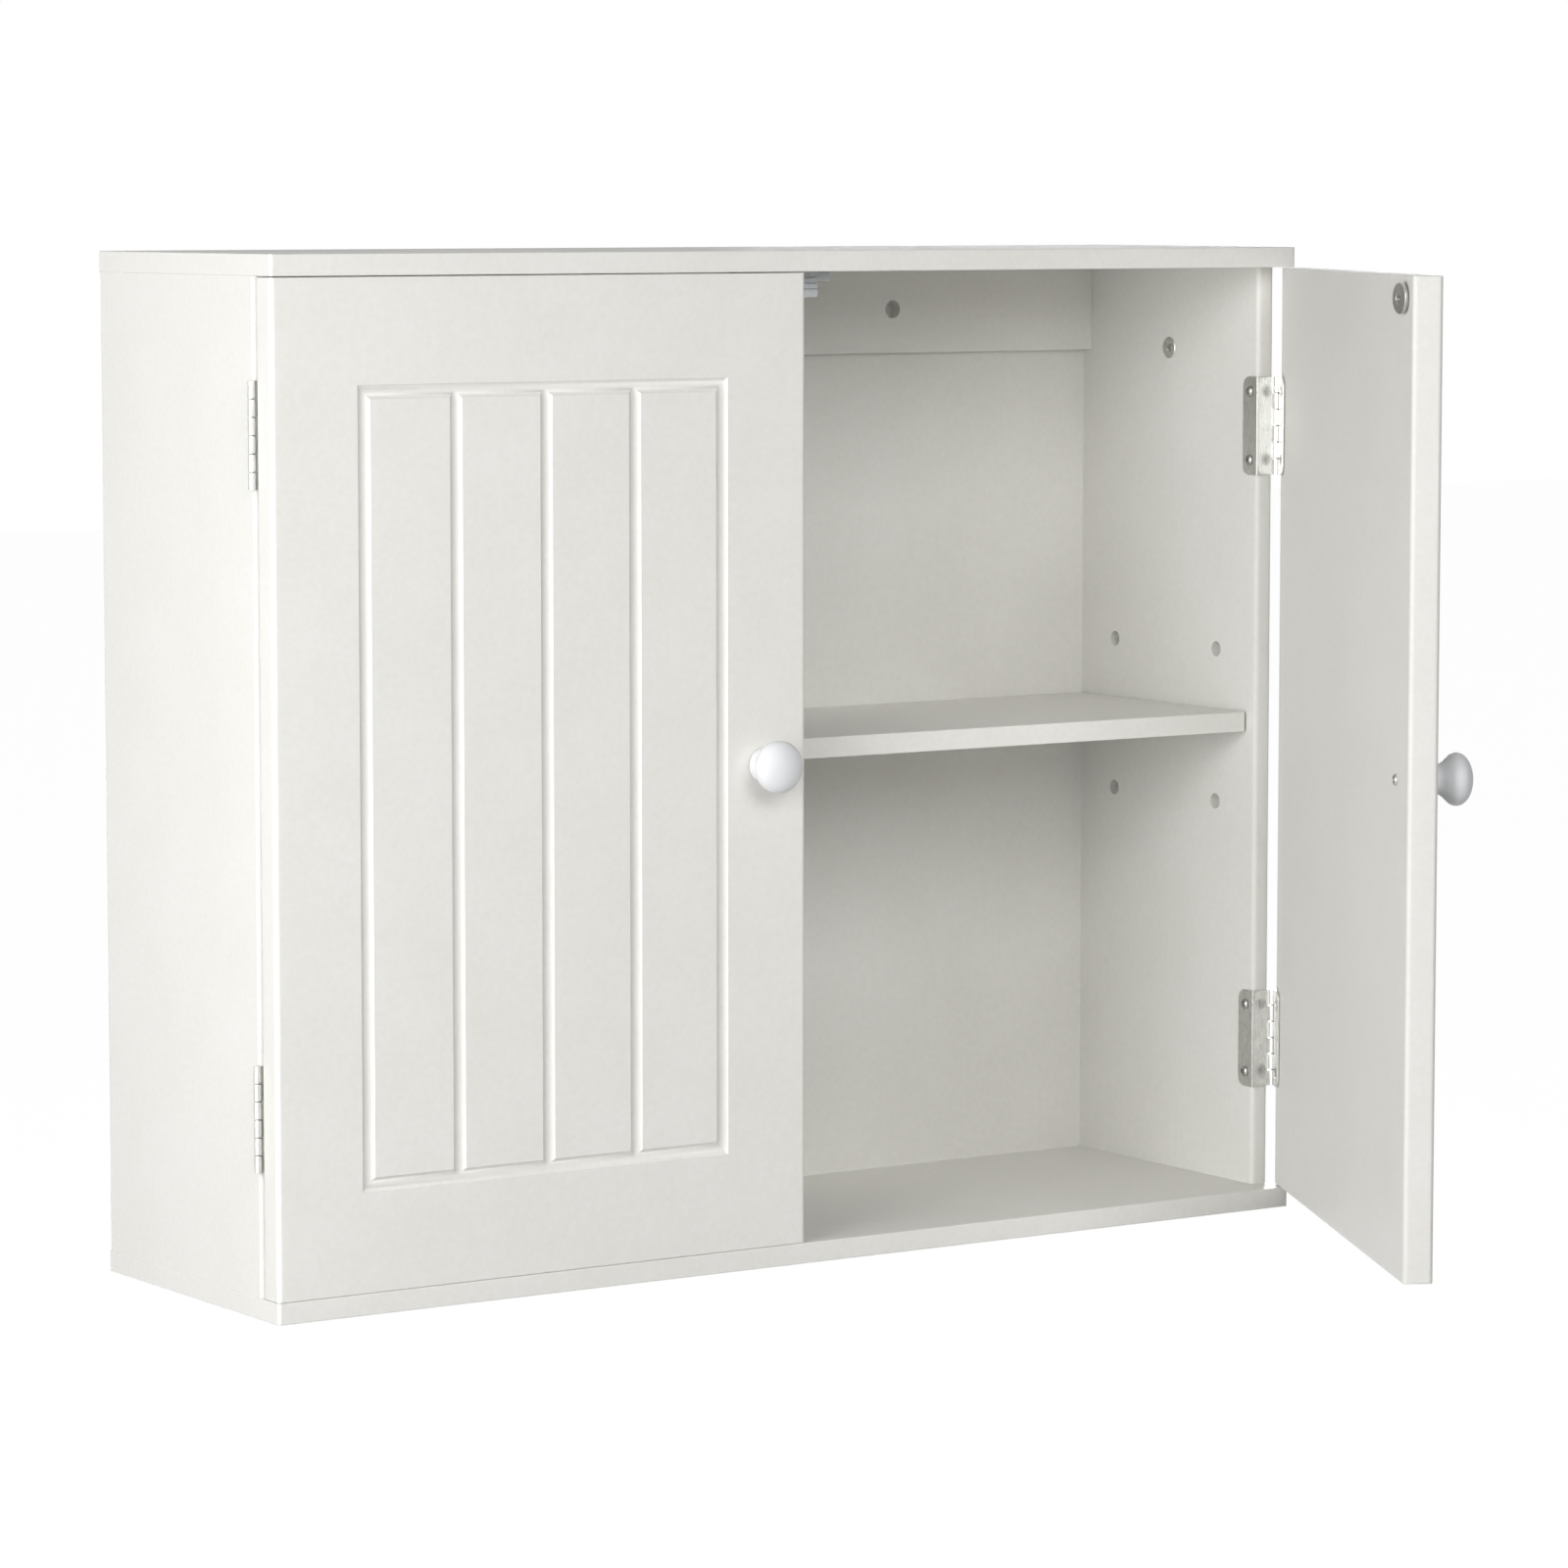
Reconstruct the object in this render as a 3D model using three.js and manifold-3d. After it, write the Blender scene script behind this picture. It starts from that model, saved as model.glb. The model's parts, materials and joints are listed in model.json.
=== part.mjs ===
// Shallow hanging wall cabinet with two grooved doors on wrap-round butt hinges.
// Millimetres, +Z up. The wall plane is y = 0, the doors face -Y, and z = 0 is the line of the
// two hanging holes. The left door is shut and the right door stands open.

import * as THREE from 'three';
import { mergeVertices } from 'three/addons/utils/BufferGeometryUtils.js';
import Module from 'manifold-3d';

const wasm = await Module();
wasm.setup();

// ---- driving dimensions --------------------------------------------------------------------

const WIDTH = 600;
const HEIGHT = 500;
const DEPTH = 173;
const BOARD = 10.3; // thickness of the top, bottom, sides and shelf
const BACK = 4; // thickness of the back panel
const FIT = 0.2; // clearance left at every glued or screwed joint
const HANG_DROP = 33; // hanging holes below the top of the cabinet
const SIDE_INSET = 0.4; // the sides stand in this far from the ends of the top and bottom

const RAIL_HEIGHT = 45.2;
const RAIL_THICK = 7.2;
const HANG_SPACING = 318.4;
const RAIL_HOLE_R = 4.7; // takes the head of a wall screw
const RAIL_WEB = 2; // what is left of the rail behind that head
const SCREW_WAY_R = 2.6;

const SHELF_SETBACK = 23.8; // from the front plane to the front of the shelf
const SHELF_TOP = 258.6; // above the underside of the cabinet
const PEG_PITCH = 40.1; // between the shelf positions
const PEG_DEPTHS = [50.8, 139.3]; // from the front plane
const PEG_HOLE_R = 4;
const PEG_SUNK = 1.3; // middle of the pegs above the underside of the shelf

const DOOR_THICK = 14.8;
const DOOR_WIDTH = 296.6;
const DOOR_CLEAR = 0.5; // under the top and over the bottom
const EDGE_ROUND = 2.4; // rounded edges of the doors and sides
const GROOVE_MARGIN = 49; // door edge to the centre of the framing groove
const GROOVE_TOP = 53.6;
const GROOVE_BOTTOM = 51.4;
const GROOVE_WIDTH = 7.2;
const GROOVE_DEPTH = 1.6;
const BOARDS_PER_DOOR = 4;
const OPEN_ANGLE = THREE.MathUtils.degToRad(63.7); // how far the right door stands open

const LEAF = 0.9; // thickness of the hinge leaves
const LEAF_GAP = 0.2; // between the two leaves when the door is shut
const LEAF_REACH = 11; // width of the screwed part of each leaf
const LEAF_HEIGHT = 51;
const LEAF_CORNER = 5;
const KNUCKLES = 6;
const BARREL_R = 2;
const PIN_R = 1;
const LEAF_ROOT = 2.6; // from the hinge axis to the near edge of the leaves
const AXIS_DEPTH = 16; // hinge axis behind the front plane
const AXIS_OUT = 1.5; // hinge axis outside the end of the cabinet
const HINGE_HEIGHTS = { left: [416, 95.8], right: [407.6, 87.3] };
const LEAF_SCREW_SPACING = 35.5;

const KNOB_FROM_EDGE = 25.3; // knob centre to the free edge of the door
const KNOB_HEIGHT = 249.6;
const STRIKE_FROM_EDGE = 14.8;
const STRIKE_HEIGHT = 478.6;
const STRIKE_TILT = THREE.MathUtils.degToRad(11); // the free strike plate hangs a little askew

// ---- places worked out from them -----------------------------------------------------------

const HALF = WIDTH / 2;
const SIDE_OUTER = HALF - SIDE_INSET;
const SIDE_INNER = SIDE_OUTER - BOARD;
const SIDE_MIDDLE = SIDE_OUTER - BOARD / 2;
const SIDE_FRONT = AXIS_DEPTH + LEAF_GAP / 2 + LEAF + FIT;
const DOOR_LOW = BOARD + DOOR_CLEAR;
const DOOR_HIGH = HEIGHT - BOARD - DOOR_CLEAR;
const INSIDE_LOW = BOARD + FIT;
const INSIDE_HIGH = HEIGHT - BOARD - FIT;
const BACK_FRONT = DEPTH - BACK;
const SIDES = { left: -1, right: 1 };

// The y of a depth behind the front plane, and the z of a height above the underside.
const deep = (depth) => depth - DEPTH;
const high = (height) => height - (HEIGHT - HANG_DROP);

// ---- materials -----------------------------------------------------------------------------

function finish(color, roughness, metalness = 0) {
  return new THREE.MeshStandardMaterial({ color, roughness, metalness });
}

const paint = () => finish(0xe6e5e0, 0.45);
const glossWhite = () => finish(0xf4f5f7, 0.25);
const whitePlastic = () => finish(0xe2e5e8, 0.4);
const steel = () => finish(0xb9b9b6, 0.25, 1);
const ferrite = () => finish(0x3d3d40, 0.7);

// ---- shapes and joinery --------------------------------------------------------------------

// A closed three.js geometry as a solid that can be cut and joined.
function solid(geometry) {
  const bare = geometry.clone();
  bare.deleteAttribute('normal');
  bare.deleteAttribute('uv');
  const merged = mergeVertices(bare, 1e-4);
  return new wasm.Manifold(new wasm.Mesh({
    numProp: 3,
    vertProperties: new Float32Array(merged.attributes.position.array),
    triVerts: new Uint32Array(merged.index.array),
  }));
}

function part(name, body, material) {
  const { vertProperties, triVerts } = body.getMesh();
  const geometry = new THREE.BufferGeometry();
  geometry.setAttribute('position', new THREE.BufferAttribute(vertProperties, 3));
  geometry.setIndex(new THREE.BufferAttribute(triVerts, 1));
  geometry.computeVertexNormals();
  const mesh = new THREE.Mesh(geometry, material);
  mesh.name = name;
  return mesh;
}

// A block between two opposite corners, given in any order.
function block(cornerA, cornerB) {
  const size = cornerA.map((value, i) => Math.abs(value - cornerB[i]));
  const middle = cornerA.map((value, i) => (value + cornerB[i]) / 2);
  return solid(new THREE.BoxGeometry(...size).translate(...middle));
}

// A flat outline pushed along an axis from a start. Along z it is drawn in (x, y), along x in
// (y, z), and along -y in (x, z).
function pushed(outline, axis, start, length) {
  const geometry = new THREE.ExtrudeGeometry(outline, {
    depth: length, bevelEnabled: false, curveSegments: 4,
  });
  geometry.translate(0, 0, start);
  const turns = {
    x: [0, 0, 1, 0, 1, 0, 0, 0, 0, 1, 0, 0],
    '-y': [1, 0, 0, 0, 0, 0, -1, 0, 0, 1, 0, 0],
  };
  if (turns[axis]) {
    geometry.applyMatrix4(new THREE.Matrix4().set(...turns[axis], 0, 0, 0, 1));
  }
  return solid(geometry);
}

// A rectangle whose four corners, or only those on its low or high side in u, are rounded.
function roundedRectangle(u0, v0, u1, v1, radius, sides = 'both') {
  const low = sides === 'high' ? 0 : radius;
  const far = sides === 'low' ? 0 : radius;
  const outline = new THREE.Shape();
  outline.moveTo(u0 + low, v0);
  outline.lineTo(u1 - far, v0);
  if (far) outline.absarc(u1 - far, v0 + far, far, -Math.PI / 2, 0);
  outline.lineTo(u1, v1 - far);
  if (far) outline.absarc(u1 - far, v1 - far, far, 0, Math.PI / 2);
  outline.lineTo(u0 + low, v1);
  if (low) outline.absarc(u0 + low, v1 - low, low, Math.PI / 2, Math.PI);
  outline.lineTo(u0, v0 + low);
  if (low) outline.absarc(u0 + low, v0 + low, low, Math.PI, 1.5 * Math.PI);
  return outline;
}

// A turned piece: profile points are [radius, distance], and it points from base along aim.
function turned(profile, base, aim, segments = 10) {
  const points = profile.map(([radius, along]) => new THREE.Vector2(radius, along));
  const geometry = new THREE.LatheGeometry(points, segments);
  const direction = new THREE.Vector3(...aim).normalize();
  const up = new THREE.Vector3(0, 1, 0);
  geometry.applyQuaternion(new THREE.Quaternion().setFromUnitVectors(up, direction));
  geometry.translate(...base);
  return solid(geometry);
}

function rod(radius, length, base, aim, segments = 12) {
  const profile = [[0, 0], [radius, 0], [radius, length], [0, length]];
  return turned(profile, base, aim, segments);
}

// ---- screws --------------------------------------------------------------------------------

// Every screw points from its seat along aim. The clearance version cuts its hole.
function panScrew(seat, aim, headR, headHeight, shankR, shankLength) {
  const profile = [
    [0, -headHeight], [headR * 0.55, -headHeight * 0.88], [headR * 0.9, -headHeight * 0.5],
    [headR, 0], [shankR, 0], [shankR, shankLength - 1.5], [0, shankLength],
  ];
  return turned(profile, seat, aim);
}

function countersunkScrew(seat, aim, headR, headDepth, shankR, shankLength) {
  const profile = [
    [0, 0], [headR, 0], [shankR, headDepth], [shankR, shankLength - 1.5], [0, shankLength],
  ];
  return turned(profile, seat, aim);
}

// The hole for a screw, from a little in front of its seat to past its point.
function screwHole(seat, aim, shankR, shankLength, headR = shankR, headDepth = 1) {
  const wide = headR + FIT;
  const narrow = shankR + FIT;
  const profile = [
    [0, -FIT], [wide, -FIT], [wide, 0], [narrow, headDepth + FIT], [narrow, shankLength + FIT],
    [0, shankLength + FIT],
  ];
  return turned(profile, seat, aim);
}

const LEAF_SCREW = { headR: 2.7, headHeight: 1.6, headDepth: 1.5, shankR: 1.4, length: 9 };
const KNOB_SCREW = { headR: 2.9, headHeight: 2, shankR: 1.9, length: 24 };
const CATCH_SCREW = { headR: 2.5, headHeight: 1.4, shankR: 1.3, length: 11 };
const STRIKE_SCREW = { headR: 3, headDepth: 1.8, shankR: 1.4, length: 11 };
const CASE_SCREW = { headR: 3.6, headDepth: 3, shankR: 1.8, length: 38 };

// ---- case fittings that the boards are drilled for ------------------------------------------

const CAM = { r: 5.5, depth: 8, at: 93.3, height: 446.5 };
const CAM_BOLT = { r: 2, reach: 7 }; // reach is how far it goes into the top
const CATCH = { halfWidth: 15.9, front: 18.5, depth: 18.8, height: 12.7 };
const CATCH_TAB = { out: 27.2, front: 23, depth: 11, thick: 4.9, screwAt: 21.2 };
const MAGNET = { inner: 2, outer: 14, wall: 1.6, depth: 16, thick: 4.6, drop: 3.6 };
const PEG = { plug: 6.8, noseR: 2, noseLength: 7, height: SHELF_TOP - BOARD + PEG_SUNK };
const SHELF_SLOT = { length: 8.2, halfWidth: 2.6 };

function camBolt(side) {
  const from = CAM.height + CAM.r + 2 * FIT;
  const length = HEIGHT - BOARD + CAM_BOLT.reach - from;
  const base = [side * SIDE_MIDDLE, deep(CAM.at), high(from)];
  return { base, length };
}

function catchScrewSeat(side) {
  const y = deep(CATCH_TAB.front + CATCH_TAB.depth / 2);
  return [side * CATCH_TAB.screwAt, y, high(INSIDE_HIGH - CATCH_TAB.thick)];
}

function caseScrewSeat(side) {
  return [side * SIDE_MIDDLE, deep(CAM.at), high(0)];
}

function hangHole(side) {
  return [side * HANG_SPACING / 2, deep(DEPTH - BACK - FIT - RAIL_THICK), 0];
}

// ---- the case ------------------------------------------------------------------------------

const UP = [0, 0, 1];
const BACKWARDS = [0, 1, 0];
const THROUGH = 2 * (RAIL_THICK + BACK); // long enough to pass through the rail and the back

function topPanel() {
  const outline = roundedRectangle(deep(0), high(HEIGHT - BOARD), deep(DEPTH), high(HEIGHT), 1);
  let board = pushed(outline, 'x', -HALF, WIDTH);
  for (const side of Object.values(SIDES)) {
    const { base, length } = camBolt(side);
    board = board.subtract(rod(CAM_BOLT.r + FIT, length + FIT, base, UP));
    const seat = catchScrewSeat(side);
    board = board.subtract(screwHole(seat, UP, CATCH_SCREW.shankR, CATCH_SCREW.length));
  }
  return board;
}

function bottomPanel() {
  const outline = roundedRectangle(deep(0), high(0), deep(DEPTH), high(BOARD), 1);
  let board = pushed(outline, 'x', -HALF, WIDTH);
  for (const side of Object.values(SIDES)) {
    const { shankR, length, headR, headDepth } = CASE_SCREW;
    board = board.subtract(
      screwHole(caseScrewSeat(side), UP, shankR, length, headR, headDepth));
  }
  return board;
}

function sidePanel(side, hingeHeights) {
  const edges = [side * SIDE_INNER, side * SIDE_OUTER].sort((a, b) => a - b);
  const outline = roundedRectangle(edges[0], deep(SIDE_FRONT), edges[1], deep(DEPTH), EDGE_ROUND);
  let board = pushed(outline, 'z', high(INSIDE_LOW), INSIDE_HIGH - INSIDE_LOW);
  const outwards = [side, 0, 0];
  const face = side * SIDE_INNER;
  for (const depth of PEG_DEPTHS) {
    for (const step of [-1, 0, 1]) {
      const mouth = [face - side, deep(depth), high(PEG.height + step * PEG_PITCH)];
      board = board.subtract(rod(PEG_HOLE_R, PEG.plug + 1 + FIT, mouth, outwards));
    }
  }
  const camMouth = [face - side, deep(CAM.at), high(CAM.height)];
  board = board.subtract(rod(CAM.r + FIT, CAM.depth + 1 + FIT, camMouth, outwards));
  const { base, length } = camBolt(side);
  board = board.subtract(rod(CAM_BOLT.r + FIT, length, base, UP));
  board = board.subtract(
    rod(CASE_SCREW.shankR + FIT, CASE_SCREW.length + FIT, caseScrewSeat(side), UP));
  for (const height of hingeHeights) {
    for (const seat of caseLeafScrews(side, height)) {
      board = board.subtract(screwHole(seat, outwards, LEAF_SCREW.shankR, LEAF_SCREW.length));
    }
  }
  return board;
}

function backPanel() {
  const half = SIDE_INNER - FIT;
  let board = block(
    [-half, deep(BACK_FRONT), high(INSIDE_LOW)], [half, deep(DEPTH), high(INSIDE_HIGH)]);
  for (const side of Object.values(SIDES)) {
    board = board.subtract(rod(SCREW_WAY_R, THROUGH, hangHole(side), BACKWARDS));
  }
  return board;
}

function hangingRail() {
  const half = SIDE_INNER - FIT;
  const back = BACK_FRONT - FIT;
  let rail = block(
    [-half, deep(back - RAIL_THICK), high(INSIDE_HIGH - RAIL_HEIGHT)],
    [half, deep(back), high(INSIDE_HIGH)]);
  for (const side of Object.values(SIDES)) {
    const [x, y, z] = hangHole(side);
    rail = rail.subtract(rod(SCREW_WAY_R, THROUGH, [x, y, z], BACKWARDS));
    rail = rail.subtract(
      rod(RAIL_HOLE_R, RAIL_THICK - RAIL_WEB + 1, [x, y - 1, z], BACKWARDS, 16));
  }
  return rail;
}

function shelf() {
  const half = SIDE_INNER - 4 * FIT;
  const back = BACK_FRONT - 2 * FIT;
  const low = SHELF_TOP - BOARD;
  const outline = roundedRectangle(deep(SHELF_SETBACK), high(low), deep(back), high(SHELF_TOP), 1);
  let board = pushed(outline, 'x', -half, 2 * half);
  for (const side of Object.values(SIDES)) {
    for (const depth of PEG_DEPTHS) {
      const slotTop = PEG.height + PEG.noseR + FIT;
      board = board.subtract(block(
        [side * (half + 1), deep(depth - SHELF_SLOT.halfWidth), high(low - 1)],
        [side * (half - SHELF_SLOT.length), deep(depth + SHELF_SLOT.halfWidth), high(slotTop)]));
    }
  }
  return board;
}

function shelfPeg(side, depth) {
  const r = PEG_HOLE_R - FIT;
  const profile = [
    [0, 0], [r, 0], [r, PEG.plug - FIT], [PEG.noseR, PEG.plug - FIT],
    [PEG.noseR, PEG.plug + PEG.noseLength], [0, PEG.plug + PEG.noseLength],
  ];
  const base = [side * (SIDE_INNER + PEG.plug), deep(depth), high(PEG.height)];
  return turned(profile, base, [-side, 0, 0]);
}

function camLock(side) {
  const face = [side * SIDE_INNER, deep(CAM.at), high(CAM.height)];
  return rod(CAM.r, CAM.depth, face, [side, 0, 0]);
}

// ---- magnetic catch ------------------------------------------------------------------------

function catchHousing() {
  const top = INSIDE_HIGH;
  const { halfWidth, front, depth, height } = CATCH;
  let housing = block(
    [-halfWidth, deep(front), high(top - height)], [halfWidth, deep(front + depth), high(top)]);
  const ears = block(
    [-CATCH_TAB.out, deep(CATCH_TAB.front), high(top - CATCH_TAB.thick)],
    [CATCH_TAB.out, deep(CATCH_TAB.front + CATCH_TAB.depth), high(top)]);
  housing = housing.add(ears);
  for (const side of Object.values(SIDES)) {
    housing = housing.subtract(magnetBlock(side, FIT));
    const { shankR, length } = CATCH_SCREW;
    housing = housing.subtract(screwHole(catchScrewSeat(side), UP, shankR, length));
  }
  return housing;
}

// A magnet, or its pocket, which is open at the back, when it is grown by a clearance.
function magnetBlock(side, grown = 0) {
  const top = INSIDE_HIGH - MAGNET.drop;
  const front = CATCH.front + MAGNET.wall;
  const back = grown ? CATCH.front + CATCH.depth + 1 : front + MAGNET.depth;
  return block(
    [side * (MAGNET.inner - grown), deep(front - grown), high(top + grown)],
    [side * (MAGNET.outer + grown), deep(back), high(top - MAGNET.thick - grown)]);
}

// ---- hinges --------------------------------------------------------------------------------
// Hinge parts are drawn about the hinge axis, at the hinge's middle height. side is -1 or 1, and
// inboard is towards -side. y runs to the wall, so the door leaf lies at negative y when shut.

const AXIS_X = HALF + AXIS_OUT;
const LEAF_NEAR = LEAF_GAP / 2;
const LEAF_FAR = LEAF_NEAR + LEAF;
const FLANGE_OUTER = AXIS_X - SIDE_INNER + FIT;
const FLANGE_INNER = FLANGE_OUTER + LEAF;
const KNUCKLE = LEAF_HEIGHT / KNUCKLES;
const KNUCKLE_GAP = 0.3;
const FINGER = [PIN_R + 0.4, LEAF_ROOT + 0.9]; // from inside the barrel to inside the leaf
const PIN_FACETS = 8; // the pin and its bore are cut alike, so their flats lie together
const CASE_LEAF_SCREW_DEPTH = 6.4;
const DOOR_LEAF_SCREW_IN = 7.2;
const screwOffsets = [LEAF_SCREW_SPACING / 2, -LEAF_SCREW_SPACING / 2];

// The knuckles of one leaf: odd ones from the top are the door's, even ones the case's.
function knuckles(side, first, yNear, yFar) {
  let body = null;
  for (let i = first; i < KNUCKLES; i += 2) {
    const low = LEAF_HEIGHT / 2 - (i + 1) * KNUCKLE + KNUCKLE_GAP / 2;
    const tall = KNUCKLE - KNUCKLE_GAP;
    const barrel = rod(BARREL_R, tall, [0, 0, low], UP);
    const finger = block(
      [-side * FINGER[0], yNear, low], [-side * FINGER[1], yFar, low + tall]);
    const knuckle = barrel.add(finger);
    body = body ? body.add(knuckle) : knuckle;
  }
  return body;
}

function pinBore() {
  return rod(PIN_R + 0.1, LEAF_HEIGHT + 2, [0, 0, -LEAF_HEIGHT / 2 - 1], UP, PIN_FACETS);
}

function caseLeaf(side) {
  const half = LEAF_HEIGHT / 2;
  const wrap = block(
    [-side * LEAF_ROOT, LEAF_NEAR, -half], [-side * FLANGE_INNER, LEAF_FAR, half]);
  const outline = roundedRectangle(
    LEAF_NEAR, -half, LEAF_FAR + LEAF_REACH, half, LEAF_CORNER, 'high');
  const start = side > 0 ? -FLANGE_INNER : FLANGE_OUTER;
  const flange = pushed(outline, 'x', start, LEAF);
  let leaf = wrap.add(flange).add(knuckles(side, 1, LEAF_NEAR, LEAF_FAR)).subtract(pinBore());
  for (const z of screwOffsets) {
    const seat = [-side * FLANGE_INNER, CASE_LEAF_SCREW_DEPTH, z];
    const { shankR, length } = LEAF_SCREW;
    leaf = leaf.subtract(screwHole(seat, [side, 0, 0], shankR, length));
  }
  return leaf;
}

// The seats of the case leaf's screws, in the cabinet's frame.
function caseLeafScrews(side, height) {
  const x = side * (AXIS_X - FLANGE_INNER);
  const y = deep(AXIS_DEPTH + CASE_LEAF_SCREW_DEPTH);
  return screwOffsets.map((z) => [x, y, high(height) + z]);
}

function doorLeaf(side) {
  const half = LEAF_HEIGHT / 2;
  const tip = LEAF_REACH + BARREL_R;
  const [low, top] = [-side * LEAF_ROOT, -side * tip].sort((a, b) => a - b);
  const rounded = side > 0 ? 'low' : 'high';
  const outline = roundedRectangle(low, -half, top, half, LEAF_CORNER, rounded);
  const plate = pushed(outline, '-y', LEAF_NEAR, LEAF);
  let leaf = plate.add(knuckles(side, 0, -LEAF_FAR, -LEAF_NEAR)).subtract(pinBore());
  for (const [seat, aim] of doorLeafScrews(side, 0)) {
    const { shankR, length, headR, headDepth } = LEAF_SCREW;
    leaf = leaf.subtract(screwHole(seat, aim, shankR, length, headR, headDepth));
  }
  return leaf;
}

// The seats of the door leaf's screws, about the hinge axis.
function doorLeafScrews(side, z0) {
  return screwOffsets.map((z) => [[-side * DOOR_LEAF_SCREW_IN, -LEAF_NEAR, z0 + z], [0, -1, 0]]);
}

function hingePin() {
  return rod(PIN_R, LEAF_HEIGHT - 2 * FIT, [0, 0, -LEAF_HEIGHT / 2 + FIT], UP, PIN_FACETS);
}

// ---- doors ---------------------------------------------------------------------------------
// A door and all that rides on it is drawn about its hinge axis, as it lies when it is shut.

const DOOR_HUNG = AXIS_OUT; // from the hinge axis to the hinged edge of the door
const DOOR_BACK = -LEAF_FAR - FIT;
const DOOR_FRONT = DOOR_BACK - DOOR_THICK;
const INTO_DOOR = [0, -1, 0];

// x of a point that far inboard of the door's hinged edge.
const inboard = (side, distance) => -side * (DOOR_HUNG + distance);

// A bar of triangular section that cuts one groove between two points of the door's face.
function grooveCutter(from, to) {
  const along = new THREE.Vector3(to[0] - from[0], 0, to[1] - from[1]);
  const length = along.length();
  const half = GROOVE_WIDTH / 2;
  const outline = new THREE.Shape();
  outline.moveTo(-half - half / GROOVE_DEPTH, -1);
  outline.lineTo(half + half / GROOVE_DEPTH, -1);
  outline.lineTo(0, GROOVE_DEPTH);
  const geometry = new THREE.ExtrudeGeometry(outline, { depth: length, bevelEnabled: false });
  const run = along.normalize();
  const depth = new THREE.Vector3(0, 1, 0);
  const across = new THREE.Vector3().crossVectors(depth, run);
  geometry.applyMatrix4(new THREE.Matrix4().makeBasis(across, depth, run));
  geometry.translate(from[0], DOOR_FRONT, from[1]);
  return solid(geometry);
}

function grooves(side) {
  const low = high(DOOR_LOW + GROOVE_BOTTOM);
  const top = high(DOOR_HIGH - GROOVE_TOP);
  const span = DOOR_WIDTH - 2 * GROOVE_MARGIN;
  const cutters = [];
  for (let i = 0; i <= BOARDS_PER_DOOR; i += 1) {
    const x = inboard(side, GROOVE_MARGIN + (span * i) / BOARDS_PER_DOOR);
    cutters.push(grooveCutter([x, low], [x, top]));
  }
  const ends = [inboard(side, GROOVE_MARGIN), inboard(side, GROOVE_MARGIN + span)];
  for (const z of [low, top]) {
    cutters.push(grooveCutter([ends[0], z], [ends[1], z]));
  }
  return cutters.reduce((all, cutter) => all.add(cutter));
}

function knobSeat(side) {
  return [inboard(side, DOOR_WIDTH - KNOB_FROM_EDGE), DOOR_BACK, high(KNOB_HEIGHT)];
}

function strikeSeat(side) {
  return [inboard(side, DOOR_WIDTH - STRIKE_FROM_EDGE), DOOR_BACK, high(STRIKE_HEIGHT)];
}

const STRIKE = { r: 7.5, thick: 2, play: 1.1 }; // play is the room round its screw

// How far the plate's middle stands off the door when it is tilted.
const standOff = (tilt) => FIT + STRIKE.r * Math.sin(tilt);

function strikeScrewSeat(side, tilt) {
  const [x, y, z] = strikeSeat(side);
  return [x, y + standOff(tilt) + STRIKE.thick, z];
}

function door(side, hingeHeights, tilt) {
  const ends = [inboard(side, 0), inboard(side, DOOR_WIDTH)].sort((a, b) => a - b);
  const outline = roundedRectangle(ends[0], DOOR_FRONT, ends[1], DOOR_BACK, EDGE_ROUND);
  let board = pushed(outline, 'z', high(DOOR_LOW), DOOR_HIGH - DOOR_LOW);
  board = board.subtract(grooves(side));
  const { shankR, length } = KNOB_SCREW;
  board = board.subtract(screwHole(knobSeat(side), INTO_DOOR, shankR, length));
  const strike = STRIKE_SCREW;
  board = board.subtract(
    screwHole(strikeScrewSeat(side, tilt), INTO_DOOR, strike.shankR, strike.length));
  const leaf = LEAF_SCREW;
  for (const height of hingeHeights) {
    for (const [seat, aim] of doorLeafScrews(side, high(height))) {
      board = board.subtract(
        screwHole(seat, aim, leaf.shankR, leaf.length, leaf.headR, leaf.headDepth));
    }
  }
  return board;
}

// Along the knob: the foot, the neck, the shoulder where the head starts to swell, the widest
// part of the head, and the tip.
const KNOB = {
  footR: 8.5, foot: 3, neckR: 7.4, neckAt: 4.6, shoulderR: 8.3, shoulderAt: 6.4,
  headR: 13, headAt: 14.4, tip: 22.2,
};
const KNOB_SWELL = 1.2; // how long the head keeps narrow before it swells

function knob(side) {
  const { footR, foot, neckR, neckAt, shoulderR, shoulderAt, headR, headAt, tip } = KNOB;
  const profile = [
    [0, 0], [footR - 0.6, 0], [footR, foot / 2], [footR - 0.4, foot], [neckR, neckAt],
    [shoulderR, shoulderAt],
  ];
  const steps = 5;
  for (let i = 1; i <= steps; i += 1) {
    const swell = Math.sin((Math.PI / 2) * (i / steps)) ** KNOB_SWELL;
    const fall = (1 - i / steps) ** KNOB_SWELL;
    profile.push([
      shoulderR + (headR - shoulderR) * swell, headAt - (headAt - shoulderAt) * fall]);
  }
  for (let i = 1; i < steps; i += 1) {
    const turn = (Math.PI / 2) * (i / steps);
    profile.push([headR * Math.cos(turn), headAt + (tip - headAt) * Math.sin(turn)]);
  }
  profile.push([0, tip]);
  const [x, , z] = knobSeat(side);
  const base = DOOR_FRONT - FIT;
  const body = turned(profile, [x, base, z], INTO_DOOR, 20);
  const bore = KNOB_SCREW.length - DOOR_THICK + FIT;
  return body.subtract(
    rod(KNOB_SCREW.shankR + FIT, bore + 1, [x, base + 1, z], INTO_DOOR));
}

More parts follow.
